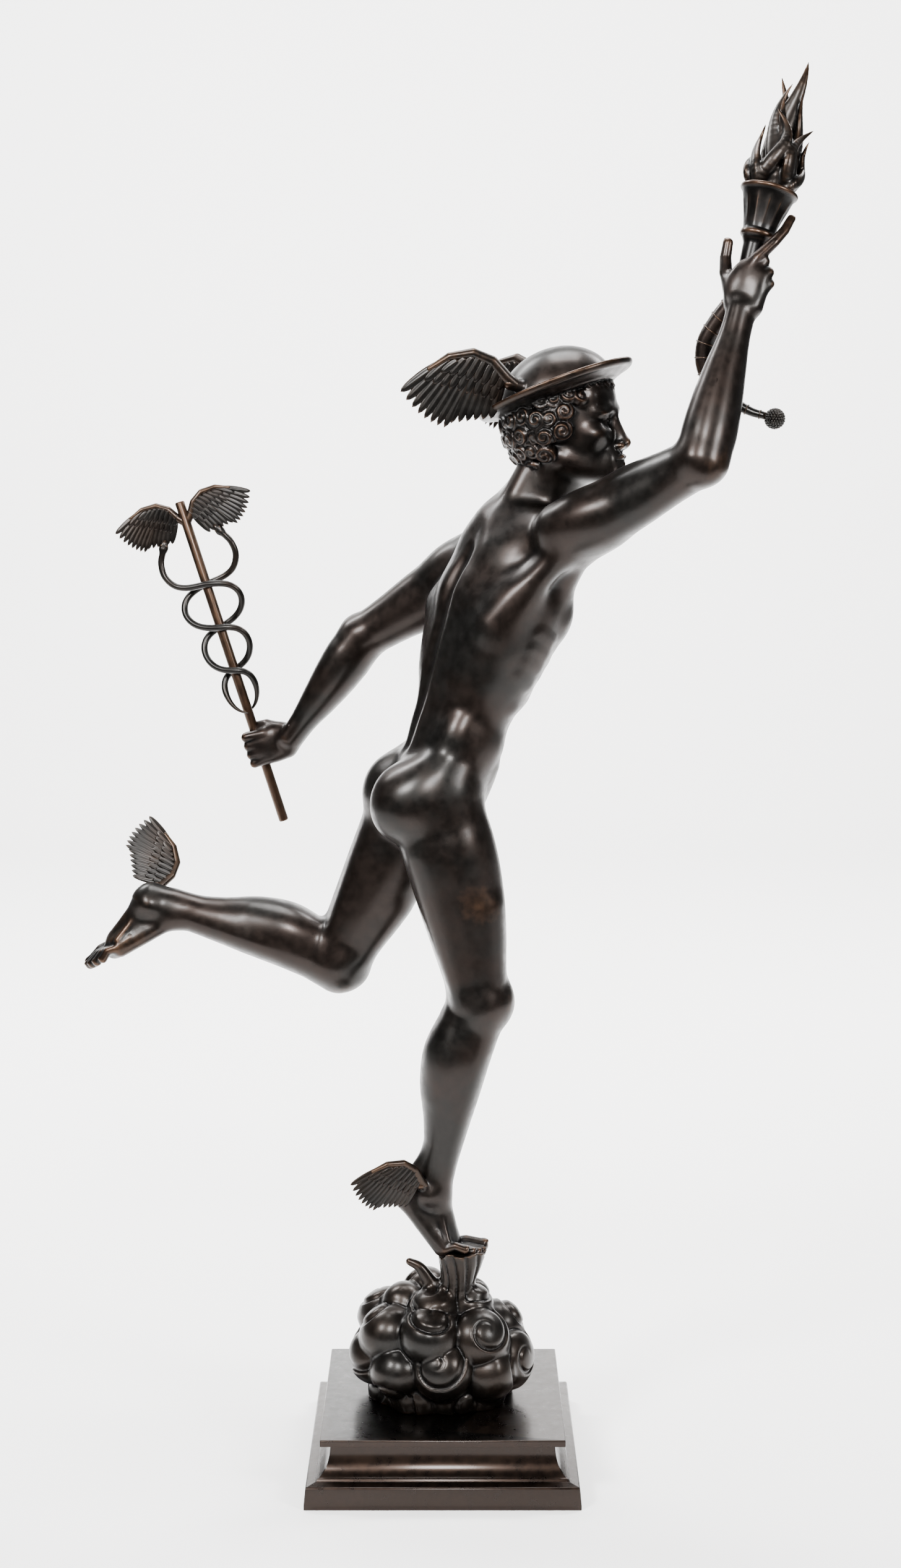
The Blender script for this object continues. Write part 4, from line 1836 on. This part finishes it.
def strokeTree():
    # short bars on points, each turned and stretched a little
    tree, given, result = newTree("strokes", [("Size", "NodeSocketVector"), ("Seed", "NodeSocketInt"),
                                              ("Finish", "NodeSocketMaterial")])
    bar = addNode(tree, "GeometryNodeMeshCube", {"Size": given.outputs["Size"]})
    turn = addNode(tree, "FunctionNodeRandomValue", {"Min": (0, 0, -0.45), "Max": (0, 0, 0.45),
                                                     "Seed": given.outputs["Seed"]}, data_type="FLOAT_VECTOR")
    stretch = addNode(tree, "FunctionNodeRandomValue", {"Min": (1, 0.55, 1), "Max": (1, 1.0, 1),
                                                        "Seed": given.outputs["Seed"]}, data_type="FLOAT_VECTOR")
    laid = addNode(tree, "GeometryNodeInstanceOnPoints", {
        "Points": given.outputs["Geometry"], "Instance": bar.outputs["Mesh"],
        "Rotation": turn.outputs["Value"],
        "Scale": stretch.outputs["Value"]})
    return closeTree(tree, given, result, laid.outputs[0], smooth=False)


def buildPlinth():
    rings = roundedProfile()
    arris = plinth["arris"]
    bm = bmesh.new()
    rows = []
    for half, z in rings:
        ring = []
        for sx, sy in ((1, 1), (-1, 1), (-1, -1), (1, -1)):
            corner = []
            for t in (0, 0.5, 1):
                a = math.radians(90 * t)
                inset = arris * (1 - math.cos(a)), arris * (1 - math.sin(a))
                corner.append((sx * (half - inset[0]), sy * (half - inset[1]), z))
            if sx * sy < 0:
                corner.reverse()
            ring += [bm.verts.new(p) for p in corner]
        rows.append(ring)
    count = len(rows[0])
    for lower, upper in zip(rows[:-1], rows[1:]):
        for j in range(count):
            k = (j + 1) % count
            bm.faces.new((lower[j], lower[k], upper[k], upper[j]))
    bm.faces.new(rows[0])
    bm.faces.new(rows[-1])
    bmesh.ops.recalc_face_normals(bm, faces=bm.faces)
    mesh = bpy.data.meshes.new("plinthCast")
    bm.to_mesh(mesh)
    bm.free()
    piece = addObject("plinthCast", mesh)
    top = plinth["profile"][-1][1]
    low, high = plinth["strokeSpan"]
    spots = [(x, y, top) for y in plinth["strokeRows"] for x in np.arange(low, high, plinth["strokeStep"])]
    strokes = grow("strokes", pointMesh("strokes", spots), strokeTree(),
                   {"Size": plinth["stroke"], "Seed": plinth["strokeSeed"], "Finish": blackened})
    carve = piece.modifiers.new("carve", "BOOLEAN")
    carve.operation = "DIFFERENCE"
    carve.solver = "EXACT"
    carve.object = strokes
    baked(piece)
    bpy.data.objects.remove(strokes)
    piece.data.shade_smooth()
    piece.data.set_sharp_from_angle(angle=math.radians(32))
    markRelief(piece.data, 0.0008, 1)
    dress(piece, "plinth", blackened)
    print("plinth", len(piece.data.polygons), "faces")


buildPlinth()


# The studio: a pale sweep, soft lights and the camera

studio = {
    "cameraAt": (0.010, -3.027, 1.333), "tilt": -7.99, "lens": 54.3, "sensor": 36.0,
    "paper": "#f4f3f2", "sweepFront": -1.25, "sweepBack": 4.8, "sweepRadius": 1.2, "halfWidth": 3.6,
    # each light: place, what it looks at, size, and power in watts
    "lights": [
        ((-2.0, -2.3, 2.7), (0, 0, 1.0), 0.8, 205), ((2.4, -2.0, 1.9), (0, 0, 0.9), 0.7, 110),
        ((0.0, -2.9, 2.5), (0, 0, 0.4), 0.7, 190),
        ((-2.2, 1.9, 3.9), (-0.8, 5.2, 1.0), 1.8, 640), ((2.2, 1.9, 3.9), (0.8, 5.2, 1.0), 1.8, 590),
        ((0.0, 0.6, 4.2), (0, 0.6, 0.0), 1.6, 220),
    ],
    "sky": 0.14,
}


def buildStudio():
    back = studio["sweepBack"]
    r = studio["sweepRadius"]
    line = [(studio["sweepFront"], 0.0), (back, 0.0)]
    line += [(back + r * math.sin(a), r - r * math.cos(a)) for a in np.linspace(0, math.pi / 2, 13)[1:]]
    line.append((back + r, 7.0))
    wide = studio["halfWidth"]
    points = [(sx * wide, y, z) for y, z in line for sx in (-1, 1)]
    faces = [(2 * i, 2 * i + 1, 2 * i + 3, 2 * i + 2) for i in range(len(line) - 1)]
    mesh = bpy.data.meshes.new("sweep")
    mesh.from_pydata(points, [], faces)
    mesh.shade_smooth()
    paper = bpy.data.materials.new("Matt seamless paper")
    paper.use_nodes = True
    shader = paper.node_tree.nodes["Principled BSDF"]
    shader.inputs["Base Color"].default_value = hexColour(studio["paper"])
    shader.inputs["Roughness"].default_value = 0.9
    mesh.materials.append(paper)
    addObject("sweep", mesh)
    for n, (at, target, size, power) in enumerate(studio["lights"]):
        light = bpy.data.lights.new("softbox", "AREA")
        light.size = size
        light.energy = power
        lamp = addObject("softbox" + str(n), light)
        lamp.location = at
        way = Vector(target) - Vector(at)
        lamp.rotation_euler = way.to_track_quat("-Z", "Y").to_euler()
    world = bpy.data.worlds.new("studio")
    world.use_nodes = True
    world.node_tree.nodes["Background"].inputs["Color"].default_value = (1, 1, 1, 1)
    world.node_tree.nodes["Background"].inputs["Strength"].default_value = studio["sky"]
    bpy.context.scene.world = world
    lens = bpy.data.cameras.new("camera")
    lens.lens = studio["lens"]
    lens.sensor_width = studio["sensor"]
    lens.clip_end = 100
    camera = addObject("camera", lens)
    camera.location = studio["cameraAt"]
    camera.rotation_euler = (math.radians(90 + studio["tilt"]), 0, 0)
    bpy.context.scene.camera = camera


buildStudio()
print("sizes written")
